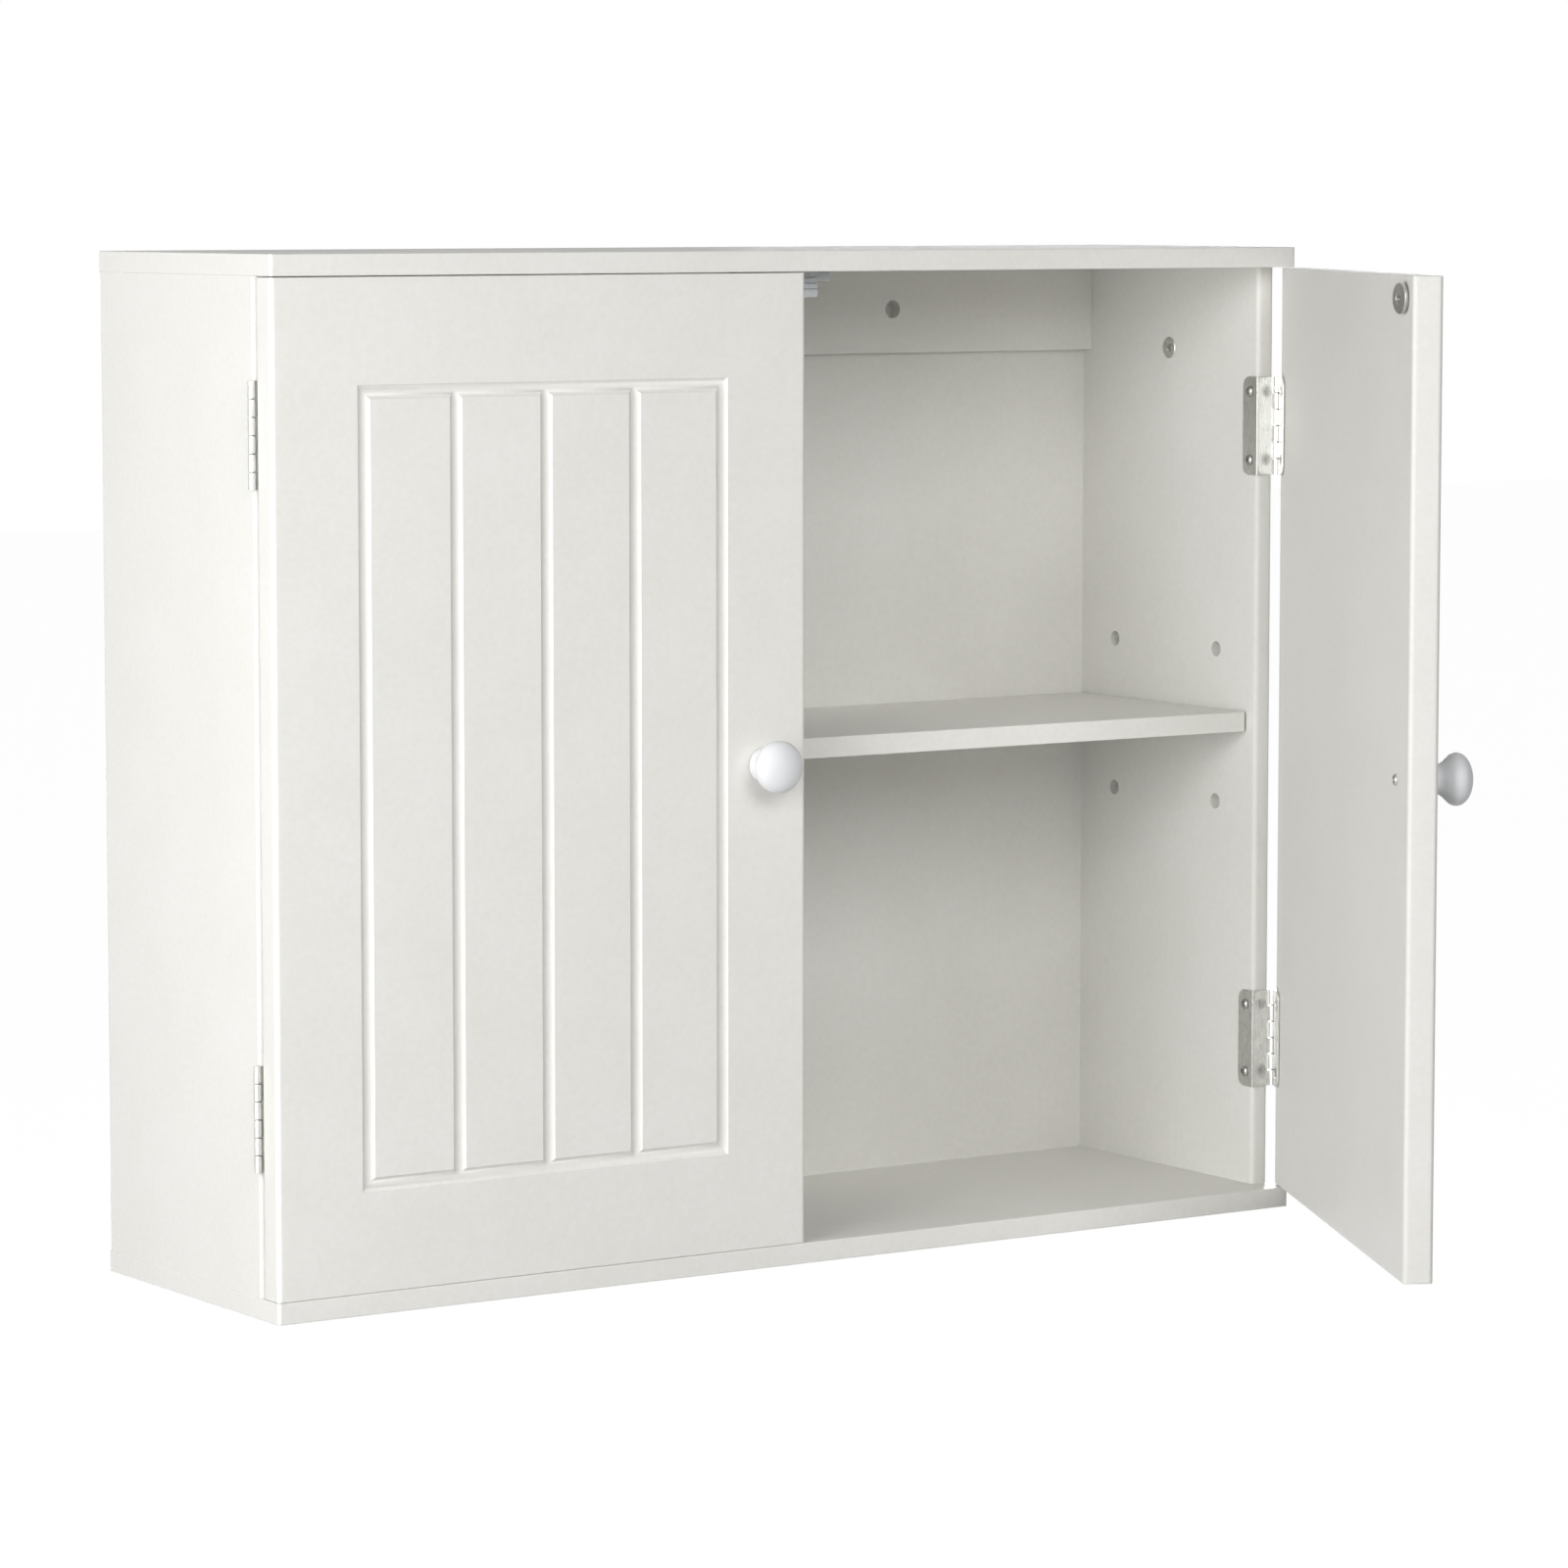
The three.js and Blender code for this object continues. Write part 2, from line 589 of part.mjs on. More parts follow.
// The plate is loose on its screw, so that it can lie flat on the magnet. When it is tilted,
// the side near the free edge of the door touches the door.
function strikePlate(side, tilt) {
  const [x, y, z] = strikeSeat(side);
  const { shankR, headR, headDepth } = STRIKE_SCREW;
  const { r, thick, play } = STRIKE;
  const profile = [
    [shankR + play, 0], [r, 0], [r, thick], [headR + play, thick],
    [shankR + play, thick - headDepth], [shankR + play, 0],
  ];
  const aim = [-side * Math.sin(tilt), Math.cos(tilt), 0];
  return turned(profile, [x, y + standOff(tilt), z], aim, 24);
}

// ---- assembly ------------------------------------------------------------------------------

function buildCase() {
  const group = new THREE.Group();
  group.add(part('top_panel', topPanel(), paint()));
  group.add(part('bottom_panel', bottomPanel(), paint()));
  group.add(part('back_panel', backPanel(), paint()));
  group.add(part('hanging_rail', hangingRail(), paint()));
  group.add(part('shelf', shelf(), paint()));
  group.add(part('catch_housing', catchHousing(), whitePlastic()));
  for (const [word, side] of Object.entries(SIDES)) {
    group.add(part(`${word}_side_panel`, sidePanel(side, HINGE_HEIGHTS[word]), paint()));
    PEG_DEPTHS.forEach((depth, i) => {
      const place = ['front', 'rear'][i];
      group.add(part(`shelf_peg_${word}_${place}`, shelfPeg(side, depth), steel()));
    });
    group.add(part(`cam_lock_${word}`, camLock(side), steel()));
    const { base, length } = camBolt(side);
    group.add(part(`cam_bolt_${word}`, rod(CAM_BOLT.r, length - FIT, base, UP), steel()));
    const { shankR, length: caseLength, headR, headDepth } = CASE_SCREW;
    const caseSeat = caseScrewSeat(side);
    caseSeat[2] += FIT;
    const caseScrew = countersunkScrew(caseSeat, UP, headR, headDepth, shankR, caseLength);
    group.add(part(`bottom_screw_${word}`, caseScrew, steel()));
    group.add(part(`catch_magnet_${word}`, magnetBlock(side), ferrite()));
    const tab = CATCH_SCREW;
    const catchSeat = catchScrewSeat(side);
    catchSeat[2] -= FIT;
    const catchScrew = panScrew(
      catchSeat, UP, tab.headR, tab.headHeight, tab.shankR, tab.length);
    group.add(part(`catch_screw_${word}`, catchScrew, steel()));
  }
  return group;
}

// The case half of each hinge stays with the case; the pin is fixed in it.
function buildCaseHinges(word) {
  const side = SIDES[word];
  const group = new THREE.Group();
  HINGE_HEIGHTS[word].forEach((height, i) => {
    const name = `${['upper', 'lower'][i]}_${word}`;
    const leaf = part(`case_leaf_${name}`, caseLeaf(side), steel());
    const pin = part(`hinge_pin_${name}`, hingePin(), steel());
    for (const piece of [leaf, pin]) {
      piece.position.set(side * AXIS_X, deep(AXIS_DEPTH), high(height));
      group.add(piece);
    }
    caseLeafScrews(side, height).forEach(([x, y, z], k) => {
      const { headR, headHeight, shankR, length } = LEAF_SCREW;
      const seat = [x - side * FIT, y, z];
      const screw = panScrew(seat, [side, 0, 0], headR, headHeight, shankR, length);
      group.add(part(`case_leaf_screw_${name}_${k + 1}`, screw, steel()));
    });
  });
  return group;
}

function buildDoor(word, tilt) {
  const side = SIDES[word];
  const group = new THREE.Group();
  group.add(part(`${word}_door`, door(side, HINGE_HEIGHTS[word], tilt), paint()));
  group.add(part(`knob_${word}`, knob(side), glossWhite()));
  const knobScrewSeat = knobSeat(side);
  knobScrewSeat[1] += FIT;
  const { headR, headHeight, shankR, length } = KNOB_SCREW;
  const knobScrew = panScrew(knobScrewSeat, INTO_DOOR, headR, headHeight, shankR, length);
  group.add(part(`knob_screw_${word}`, knobScrew, steel()));
  group.add(part(`strike_plate_${word}`, strikePlate(side, tilt), steel()));
  const strike = STRIKE_SCREW;
  const strikeScrew = countersunkScrew(strikeScrewSeat(side, tilt), INTO_DOOR, strike.headR,
    strike.headDepth, strike.shankR, strike.length);
  group.add(part(`strike_screw_${word}`, strikeScrew, steel()));
  HINGE_HEIGHTS[word].forEach((height, i) => {
    const name = `${['upper', 'lower'][i]}_${word}`;
    const leaf = part(`door_leaf_${name}`, doorLeaf(side), steel());
    leaf.position.z = high(height);
    group.add(leaf);
    doorLeafScrews(side, high(height)).forEach(([seat, aim], k) => {
      const screw = countersunkScrew(seat, aim, LEAF_SCREW.headR, LEAF_SCREW.headDepth,
        LEAF_SCREW.shankR, LEAF_SCREW.length);
      group.add(part(`door_leaf_screw_${name}_${k + 1}`, screw, steel()));
    });
  });
  group.position.set(side * AXIS_X, deep(AXIS_DEPTH), 0);
  return group;
}

const cabinet = new THREE.Group();
cabinet.add(buildCase(), buildCaseHinges('left'), buildCaseHinges('right'));
cabinet.add(buildDoor('left', 0));
const rightDoor = buildDoor('right', STRIKE_TILT);
rightDoor.rotation.z = OPEN_ANGLE;
cabinet.add(rightDoor);

export default cabinet;
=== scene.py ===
import json
import math

import bpy
from mathutils import Matrix, Vector


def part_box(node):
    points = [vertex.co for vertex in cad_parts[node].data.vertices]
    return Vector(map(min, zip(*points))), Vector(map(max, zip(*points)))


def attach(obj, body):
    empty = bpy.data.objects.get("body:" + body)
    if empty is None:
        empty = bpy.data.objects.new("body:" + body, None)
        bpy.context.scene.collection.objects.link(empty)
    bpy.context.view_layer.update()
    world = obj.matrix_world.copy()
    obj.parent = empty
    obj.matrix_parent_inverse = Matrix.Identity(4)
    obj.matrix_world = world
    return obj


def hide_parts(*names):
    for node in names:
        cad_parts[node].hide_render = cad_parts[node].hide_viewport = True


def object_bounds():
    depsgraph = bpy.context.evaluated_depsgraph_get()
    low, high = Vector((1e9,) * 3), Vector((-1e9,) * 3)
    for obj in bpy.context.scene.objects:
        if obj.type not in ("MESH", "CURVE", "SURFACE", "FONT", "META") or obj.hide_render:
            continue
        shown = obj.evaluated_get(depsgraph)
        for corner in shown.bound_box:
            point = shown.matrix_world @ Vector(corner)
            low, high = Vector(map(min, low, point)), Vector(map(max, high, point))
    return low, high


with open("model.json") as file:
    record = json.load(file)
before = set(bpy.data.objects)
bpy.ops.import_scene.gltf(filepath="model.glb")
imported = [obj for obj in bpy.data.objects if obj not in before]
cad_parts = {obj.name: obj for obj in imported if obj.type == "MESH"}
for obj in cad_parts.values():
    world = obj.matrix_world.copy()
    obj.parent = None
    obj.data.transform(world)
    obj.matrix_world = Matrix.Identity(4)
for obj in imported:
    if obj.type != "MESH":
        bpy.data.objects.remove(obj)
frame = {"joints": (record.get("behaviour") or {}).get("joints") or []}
CAD_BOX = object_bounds()


# ---- Camera -------------------------------------------------------------------------------
# A long lens at eye height, in front and to the left of the cabinet, looking slightly down.
# The height is measured from the line of the hanging holes.

CAMERA_PLACE = (-1.6241, -2.5984, 0.0624)
CAMERA_TURN = math.radians(33.54)  # towards +X
CAMERA_DIP = math.radians(5.69)
LENS = 136.93  # millimetres
SENSOR = 36

camera_data = bpy.data.cameras.new("camera")
camera_data.lens = LENS
camera_data.sensor_width = SENSOR
camera = bpy.data.objects.new("camera", camera_data)
camera.location = CAMERA_PLACE
camera.rotation_euler = (math.radians(90) - CAMERA_DIP, 0, -CAMERA_TURN)
bpy.context.scene.collection.objects.link(camera)
bpy.context.scene.camera = camera


# ---- White lacquer on fibreboard ----------------------------------------------------------
# Every board is fibreboard sprayed with a satin off-white lacquer, which rounds the edges
# softly. It shows a faint cloudiness and the fine orange peel that spraying leaves.

MM = 0.001
LACQUER_WHITE = "#E7E6E2"
LACQUER_SHADE = "#E2E1DC"
PEEL_SIZE = 1.6 * MM  # width of one orange-peel dimple
CLOUD_SIZE = 45 * MM
SPECK_SIZE = 3 * MM
SPECK_SHARE = 0.55  # of the tone; the clouds give the rest


def linear(hex_colour):
    """An sRGB hex colour as the linear colour that a shader socket takes."""
    levels = [int(hex_colour[i:i + 2], 16) / 255 for i in (1, 3, 5)]
    return (*[v / 12.92 if v <= 0.04045 else ((v + 0.055) / 1.055) ** 2.4 for v in levels], 1)


def add_node(tree, kind, settings=None, links=None):
    """Adds a node. Settings name its properties or input sockets; links feed its sockets."""
    new = tree.nodes.new(kind)
    for key, value in (settings or {}).items():
        if isinstance(key, str) and hasattr(new, key):
            setattr(new, key, value)
        else:
            new.inputs[key].default_value = value
    for key, source in (links or {}).items():
        tree.links.new(source, new.inputs[key])
    return new


def new_finish(name):
    """A material of one Principled shader, with its tree, shader and object coordinates."""
    material = bpy.data.materials.new(name)
    material.use_nodes = True
    tree = material.node_tree
    shader = tree.nodes["Principled BSDF"]
    place = add_node(tree, "ShaderNodeTexCoord").outputs["Object"]
    return material, tree, shader, place


def mixed_colours(tree, factor, low, high):
    """A colour that runs from low to high as the factor crosses its middle range."""
    ramp = add_node(tree, "ShaderNodeValToRGB", links={"Fac": factor})
    for end, position, colour in zip(ramp.color_ramp.elements, (0.35, 0.65), (low, high)):
        end.position = position
        end.color = linear(colour)
    return ramp.outputs["Color"]


lacquer, tree, shader, place = new_finish("satin_white_lacquer")
clouds = add_node(tree, "ShaderNodeTexNoise", {"Scale": 1 / CLOUD_SIZE, "Detail": 5.0},
                  {"Vector": place})
specks = add_node(tree, "ShaderNodeTexNoise", {"Scale": 1 / SPECK_SIZE, "Detail": 3.0},
                  {"Vector": place})
blend = add_node(tree, "ShaderNodeMath", {"operation": "MULTIPLY_ADD", 1: SPECK_SHARE},
                 {0: specks.outputs["Fac"]})
soft_clouds = add_node(tree, "ShaderNodeMath", {"operation": "MULTIPLY", 1: 1 - SPECK_SHARE},
                       {0: clouds.outputs["Fac"]})
tree.links.new(soft_clouds.outputs[0], blend.inputs[2])
tree.links.new(mixed_colours(tree, blend.outputs[0], LACQUER_SHADE, LACQUER_WHITE),
               shader.inputs["Base Color"])
sheen = add_node(tree, "ShaderNodeMapRange",
                 {"From Min": 0.3, "From Max": 0.7, "To Min": 0.38, "To Max": 0.46},
                 {"Value": clouds.outputs["Fac"]})
tree.links.new(sheen.outputs["Result"], shader.inputs["Roughness"])
peel = add_node(tree, "ShaderNodeTexNoise", {"Scale": 1 / PEEL_SIZE, "Detail": 2.0},
                {"Vector": place})
bump = add_node(tree, "ShaderNodeBump", {"Strength": 0.25, "Distance": 0.03 * MM},
                {"Height": peel.outputs["Fac"]})
tree.links.new(bump.outputs["Normal"], shader.inputs["Normal"])
shader.inputs["IOR"].default_value = 1.5
shader.inputs["Specular IOR Level"].default_value = 0.25


# ---- Case boards --------------------------------------------------------------------------
# The top, bottom, sides, rail and shelf are flat fibreboard with the edges eased before they
# are sprayed; the thin back stays sharp. They are screwed and glued with hairline joints, and
# the shelf lies loose on its pegs.

EASED = 0.6 * MM  # level edges of the top and bottom
CORNER = 1.8 * MM  # upright edges of the top, bottom and shelf
SOFT_EDGE = 2.4 * MM  # upright edges of the sides and doors
SIDE_END = 0.05 * MM  # level edges of the sides, nearly sharp where they meet top and bottom
SHELF_EDGE = 0.4 * MM
RAIL_EDGE = 0.3 * MM
EDGE_STEPS = 4
SMOOTH_ANGLE = math.radians(32)


def only(piece):
    """Makes a piece the one selected and active object, in object mode."""
    if bpy.context.mode != "OBJECT":
        bpy.ops.object.mode_set(mode="OBJECT")
    bpy.ops.object.select_all(action="DESELECT")
    piece.select_set(True)
    bpy.context.view_layer.objects.active = piece


def settle(piece):
    """Puts the piece's place, turn and size into its mesh, so its object is at the origin."""
    only(piece)
    bpy.ops.object.transform_apply(location=True, rotation=True, scale=True)


def apply_modifier(piece, kind, **settings):
    """Adds a modifier, applies it, and leaves the piece selected."""
    only(piece)
    modifier = piece.modifiers.new(kind.lower(), kind)
    for key, value in settings.items():
        setattr(modifier, key, value)
    bpy.ops.object.modifier_apply(modifier=modifier.name)


def new_block(low, high):
    """A block between two corners."""
    low, high = Vector(low), Vector(high)
    bpy.ops.mesh.primitive_cube_add(size=1, location=(low + high) / 2)
    block = bpy.context.object
    block.scale = high - low
    settle(block)
    return block


def new_rod(radius, start, end, sides=48):
    """A round rod between two points."""
    start, end = Vector(start), Vector(end)
    along = end - start
    bpy.ops.mesh.primitive_cylinder_add(vertices=sides, radius=radius, depth=along.length,
                                        location=(start + end) / 2)
    rod = bpy.context.object
    rod.rotation_mode = "QUATERNION"
    rod.rotation_quaternion = along.to_track_quat("Z", "Y")
    settle(rod)
    return rod


def ease_edges(piece, width, steps=EDGE_STEPS, angle=math.radians(40)):
    """Rounds every edge sharper than an angle."""
    apply_modifier(piece, "BEVEL", width=width, segments=steps, limit_method="ANGLE",
                   angle_limit=angle, use_clamp_overlap=True, harden_normals=False)


def ease_board(board, upright, level):
    """Rounds a board's upright edges by one radius and its level ones by another."""
    weights = board.data.attributes.new("bevel_weight_edge", "FLOAT", "EDGE")
    for edge in board.data.edges:
        start, end = (board.data.vertices[i].co for i in edge.vertices)
        stands = abs(end.z - start.z) > (end - start).length / 2
        weights.data[edge.index].value = 1 if stands else level / upright
    apply_modifier(board, "BEVEL", width=upright, segments=EDGE_STEPS, limit_method="WEIGHT",
                   use_clamp_overlap=True, harden_normals=False)


def cut(piece, tool):
    """Takes a tool's shape out of the piece and throws the tool away."""
    apply_modifier(piece, "BOOLEAN", operation="DIFFERENCE", object=tool, solver="EXACT")
    bpy.data.objects.remove(tool)


def join_on(piece, other):
    """Makes one closed shell of two pieces that overlap."""
    apply_modifier(piece, "BOOLEAN", operation="UNION", object=other, solver="EXACT")
    bpy.data.objects.remove(other)


def finish_shell(piece):
    """Merges doubles, turns the faces out and shades the round surfaces smooth."""
    only(piece)
    bpy.ops.object.mode_set(mode="EDIT")
    bpy.ops.mesh.select_all(action="SELECT")
    bpy.ops.mesh.remove_doubles(threshold=0.002 * MM)
    bpy.ops.mesh.normals_make_consistent(inside=False)
    bpy.ops.object.mode_set(mode="OBJECT")
    bpy.ops.object.shade_smooth_by_angle(angle=SMOOTH_ANGLE)


def hand_over(piece, name, material, body, node):
    """Names a finished piece, gives it its material, and sets it in place of its CAD node."""
    # Flat faces keep their own normals and the rounded edges take up the turn between them.
    apply_modifier(piece, "WEIGHTED_NORMAL", mode="FACE_AREA", keep_sharp=True)
    piece.name = name
    piece.data.name = name
    piece.data.materials.clear()
    piece.data.materials.append(material)
    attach(piece, body)
    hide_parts(node)


def spot(node):
    """The middle of a CAD node."""
    low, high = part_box(node)
    return (low + high) / 2


SIDES = {"left": -1, "right": 1}
WORDS = tuple(SIDES)
INNER_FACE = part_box("right_side_panel")[0].x  # x of the right side's inner face
SIDE_MIDDLE = spot("right_side_panel").x
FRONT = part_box("left_door")[0].y  # the plane of the door faces
HOLE_ROOM = 0.15 * MM  # between a fitting and its hole
PILOT_R = 1.5 * MM  # hole for a small wood screw
LONG_PILOT_R = 2.2 * MM  # hole for a cam bolt or a bottom screw in the end of a side
BOTTOM_HOLE_R = 2 * MM

top = new_block(*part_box("top_panel"))
ease_board(top, CORNER, EASED)
bottom = new_block(*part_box("bottom_panel"))
ease_board(bottom, CORNER, EASED)
for word in WORDS:
    bolt_low, bolt_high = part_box(f"cam_bolt_{word}")
    bolt = spot(f"cam_bolt_{word}")
    hole_r = (bolt_high.x - bolt_low.x) / 2 + HOLE_ROOM
    cut(top, new_rod(hole_r, (bolt.x, bolt.y, bolt_low.z), (bolt.x, bolt.y, bolt_high.z)))
    screw_low, screw_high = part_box(f"catch_screw_{word}")
    screw = (screw_low + screw_high) / 2
    cut(top, new_rod(PILOT_R, (screw.x, screw.y, screw_low.z),
                     (screw.x, screw.y, screw_high.z), 24))
    screw_low, screw_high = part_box(f"bottom_screw_{word}")
    screw = (screw_low + screw_high) / 2
    cut(bottom, new_rod(BOTTOM_HOLE_R, (screw.x, screw.y, screw_low.z - MM),
                        (screw.x, screw.y, screw_high.z), 24))
for board, name in ((top, "top_panel"), (bottom, "bottom_panel")):
    finish_shell(board)
    hand_over(board, f"{name}_lacquered", lacquer, "cabinet", name)

PEG_HOLE_R = 4 * MM
PEG_HOLE_DEPTH = 7 * MM
PEG_PITCH = 40.1 * MM
CAM_R = 5.5 * MM
CAM_HOLE_DEPTH = 8.3 * MM
ROOM = Vector((0.2, 0, 0.2)) * MM  # glued boards reach this much farther, so joints close

for word, side in SIDES.items():
    name = f"{word}_side_panel"
    low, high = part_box(name)
    panel = new_block((low.x, low.y, low.z - ROOM.z), (high.x, high.y, high.z + ROOM.z))
    ease_board(panel, SOFT_EDGE, SIDE_END)
    face = side * INNER_FACE
    for place_word in ("front", "rear"):
        peg = spot(f"shelf_peg_{word}_{place_word}")
        for step in (-1, 0, 1):
            z = peg.z + step * PEG_PITCH
            cut(panel, new_rod(PEG_HOLE_R, (face - side * MM, peg.y, z),
                               (face + side * PEG_HOLE_DEPTH, peg.y, z)))
    cam = spot(f"cam_lock_{word}")
    cut(panel, new_rod(CAM_R + HOLE_ROOM, (face - side * MM, cam.y, cam.z),
                       (face + side * CAM_HOLE_DEPTH, cam.y, cam.z)))
    for node in (f"cam_bolt_{word}", f"bottom_screw_{word}"):
        low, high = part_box(node)
        cut(panel, new_rod(LONG_PILOT_R, (SIDE_MIDDLE * side, cam.y, low.z),
                           (SIDE_MIDDLE * side, cam.y, high.z), 24))
    for level in ("upper", "lower"):
        for number in (1, 2):
            low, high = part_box(f"case_leaf_screw_{level}_{word}_{number}")
            middle = (low + high) / 2
            cut(panel, new_rod(PILOT_R, (low.x, middle.y, middle.z),
                               (high.x, middle.y, middle.z), 24))
    finish_shell(panel)
    hand_over(panel, f"{name}_lacquered", lacquer, "cabinet", name)

low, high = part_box("back_panel")
back = new_block(low - ROOM, high + ROOM)
low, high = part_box("hanging_rail")
rail_back = high.y
rail = new_block(low - ROOM, high + ROOM)
ease_edges(rail, RAIL_EDGE, 3)
HANG_X = 159.2 * MM
RAIL_HOLE_R = 4.7 * MM  # takes the head of a wall screw
RAIL_WEB = 0.8 * MM  # what is left of the rail behind that head
SCREW_WAY_R = 2.6 * MM  # lets the wall screw itself through
for side in SIDES.values():
    x = side * HANG_X
    cut(rail, new_rod(RAIL_HOLE_R, (x, -30 * MM, 0), (x, rail_back - RAIL_WEB, 0)))
    for board in (rail, back):
        cut(board, new_rod(SCREW_WAY_R, (x, -30 * MM, 0), (x, 20 * MM, 0)))
finish_shell(back)
hand_over(back, "back_panel_lacquered", lacquer, "cabinet", "back_panel")
finish_shell(rail)
hand_over(rail, "hanging_rail_lacquered", lacquer, "cabinet", "hanging_rail")

shelf_low, shelf_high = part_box("shelf")
shelf = new_block(shelf_low, shelf_high)
ease_board(shelf, CORNER, SHELF_EDGE)
SLOT_HALF = 2.6 * MM  # the slots that drop over the pegs
SLOT_LENGTH = 8.2 * MM
SLOT_OVER_PEG = 2.2 * MM
for word, side in SIDES.items():
    for place_word in ("front", "rear"):
        peg = spot(f"shelf_peg_{word}_{place_word}")
        end = side * (shelf_high.x + MM)
        deep_end = side * (shelf_high.x - SLOT_LENGTH)
        cut(shelf, new_block(
            (min(end, deep_end), peg.y - SLOT_HALF, shelf_low.z - MM),
            (max(end, deep_end), peg.y + SLOT_HALF, peg.z + SLOT_OVER_PEG)))
finish_shell(shelf)
hand_over(shelf, "shelf_lacquered", lacquer, "cabinet", "shelf")


# ---- Doors --------------------------------------------------------------------------------
# Each door is one board with a round-bottomed groove routed as a frame and three more down the
# middle, so it looks like a framed door with four boards. The right door is the mirror image
# of the left and stands open about its hinge.

GROOVE_WIDTH = 6.8 * MM
GROOVE_DEPTH = 1.7 * MM
GROOVE_MARGIN = 49 * MM  # door edge to the middle of the framing groove
GROOVE_TOP = 53.6 * MM
GROOVE_BOTTOM = 51.4 * MM
LIP = 0.35 * MM  # the lacquer softens the lips of the grooves
LIP_ANGLE = math.radians(28)
BOARDS = 4
DOOR_LEVEL_EDGE = 0.7 * MM
DOOR_DROP = 0.4 * MM  # narrows the gap over the bottom panel

cutter_r = (GROOVE_WIDTH ** 2 / 4 + GROOVE_DEPTH ** 2) / (2 * GROOVE_DEPTH)
cutter_y = FRONT + GROOVE_DEPTH - cutter_r


def groove_frame(left, right, low, high):
    """A square ring of round section with mitred corners, as the router leaves the frame."""
    middle = Vector(((left + right) / 2, cutter_y, (low + high) / 2))
    small = 20 * MM
    bpy.ops.mesh.primitive_torus_add(major_radius=small, minor_radius=cutter_r,
                                     major_segments=4, minor_segments=96)
    ring = bpy.context.object
    ring.rotation_euler.z = math.radians(45)
    ring.scale = (math.sqrt(2), math.sqrt(2), 1)
    settle(ring)
    ring.rotation_euler.x = math.radians(90)
    settle(ring)
    for side_x in (-1, 1):
        for side_z in (-1, 1):
            bpy.ops.object.mode_set(mode="EDIT")
            bpy.ops.mesh.select_all(action="DESELECT")
            bpy.ops.object.mode_set(mode="OBJECT")
            for vertex in ring.data.vertices:
                vertex.select = vertex.co.x * side_x > 0 and vertex.co.z * side_z > 0
            bpy.ops.object.mode_set(mode="EDIT")
            shift = (side_x * ((right - left) / 2 - small), 0,
                     side_z * ((high - low) / 2 - small))
            bpy.ops.transform.translate(value=shift)
    bpy.ops.object.mode_set(mode="OBJECT")
    ring.location = middle
    settle(ring)
    return ring


door_low, door_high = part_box("left_door")
door = new_block(door_low - Vector((0, 0, DOOR_DROP)), door_high)
ease_board(door, SOFT_EDGE, DOOR_LEVEL_EDGE)
frame_left = door_low.x + GROOVE_MARGIN
frame_right = door_high.x - GROOVE_MARGIN
frame_low = door_low.z + GROOVE_BOTTOM
frame_high = door_high.z - GROOVE_TOP
cut(door, groove_frame(frame_left, frame_right, frame_low, frame_high))
for i in range(1, BOARDS):
    x = frame_left + (frame_right - frame_left) * i / BOARDS
    cut(door, new_rod(cutter_r, (x, cutter_y, frame_low), (x, cutter_y, frame_high), 96))
ease_edges(door, LIP, 2, LIP_ANGLE)

# Holes for the screws of the knob, the strike plate and the hinges: radius and depth in
# millimetres, and place. The holes of the hinge screws are as deep as the strike plate's.
knob_screw = spot("knob_screw_left")
strike = spot("strike_plate_left")
door_back = door_high.y
holes = [(2.1, 20, knob_screw), (1.6, 9, strike)]
for level in ("upper", "lower"):
    for number in (1, 2):
        holes.append((1.5, 9, spot(f"door_leaf_screw_{level}_left_{number}")))
for radius, depth, hole in holes:
    cut(door, new_rod(radius * MM, (hole.x, door_back - depth * MM, hole.z),
                      (hole.x, door_back + MM, hole.z), 32))
finish_shell(door)

LEFT_AXIS = Vector(frame["joints"][0]["pos_m"])
RIGHT_AXIS = Vector(frame["joints"][1]["pos_m"])
SHUT_TURN = math.radians(frame["joints"][1]["range_deg"][0])
MIRROR = Matrix.Scale(-1, 4, (1, 0, 0))
STAND_OPEN = (Matrix.Translation(RIGHT_AXIS) @ Matrix.Rotation(-SHUT_TURN, 4, "Z")
              @ Matrix.Translation(-RIGHT_AXIS))


def copy_of(piece, change):
    """A copy with its own mesh, moved, turned or mirrored by a matrix."""
    twin = piece.copy()
    twin.data = piece.data.copy()
    bpy.context.scene.collection.objects.link(twin)
    twin.data.transform(change)
    if change.determinant() < 0:
        twin.data.flip_normals()
    return twin


def right_door_copy(piece):
    """The right door's copy of a left door piece, mirrored and swung open."""
    return copy_of(piece, STAND_OPEN @ MIRROR)


right_door = right_door_copy(door)
hand_over(door, "left_door_lacquered", lacquer, "left_door", "left_door")
hand_over(right_door, "right_door_lacquered", lacquer, "right_door",
          "right_door")


# ---- Knobs --------------------------------------------------------------------------------
# A turned knob with a low foot, a short neck and a flattened ball, lacquered in a cooler
# white than the doors. A machine screw from inside the door holds it.

KNOB_WHITE = "#DFE0E2"
# radius and distance from the door, in millimetres, from the foot to the tip
KNOB_PROFILE = (
    (8.0, 0.0), (8.5, 0.5), (8.5, 2.0), (8.2, 2.9), (7.5, 3.4), (7.15, 4.4), (7.4, 5.8),
    (8.5, 7.5), (10.2, 9.2), (11.9, 10.9), (12.8, 12.7), (13.0, 14.4), (12.6, 16.4),
    (11.3, 18.4), (9.0, 20.2), (6.0, 21.4), (3.0, 22.0), (0.9, 22.18))
KNOB_STAND_OFF = 0.1 * MM

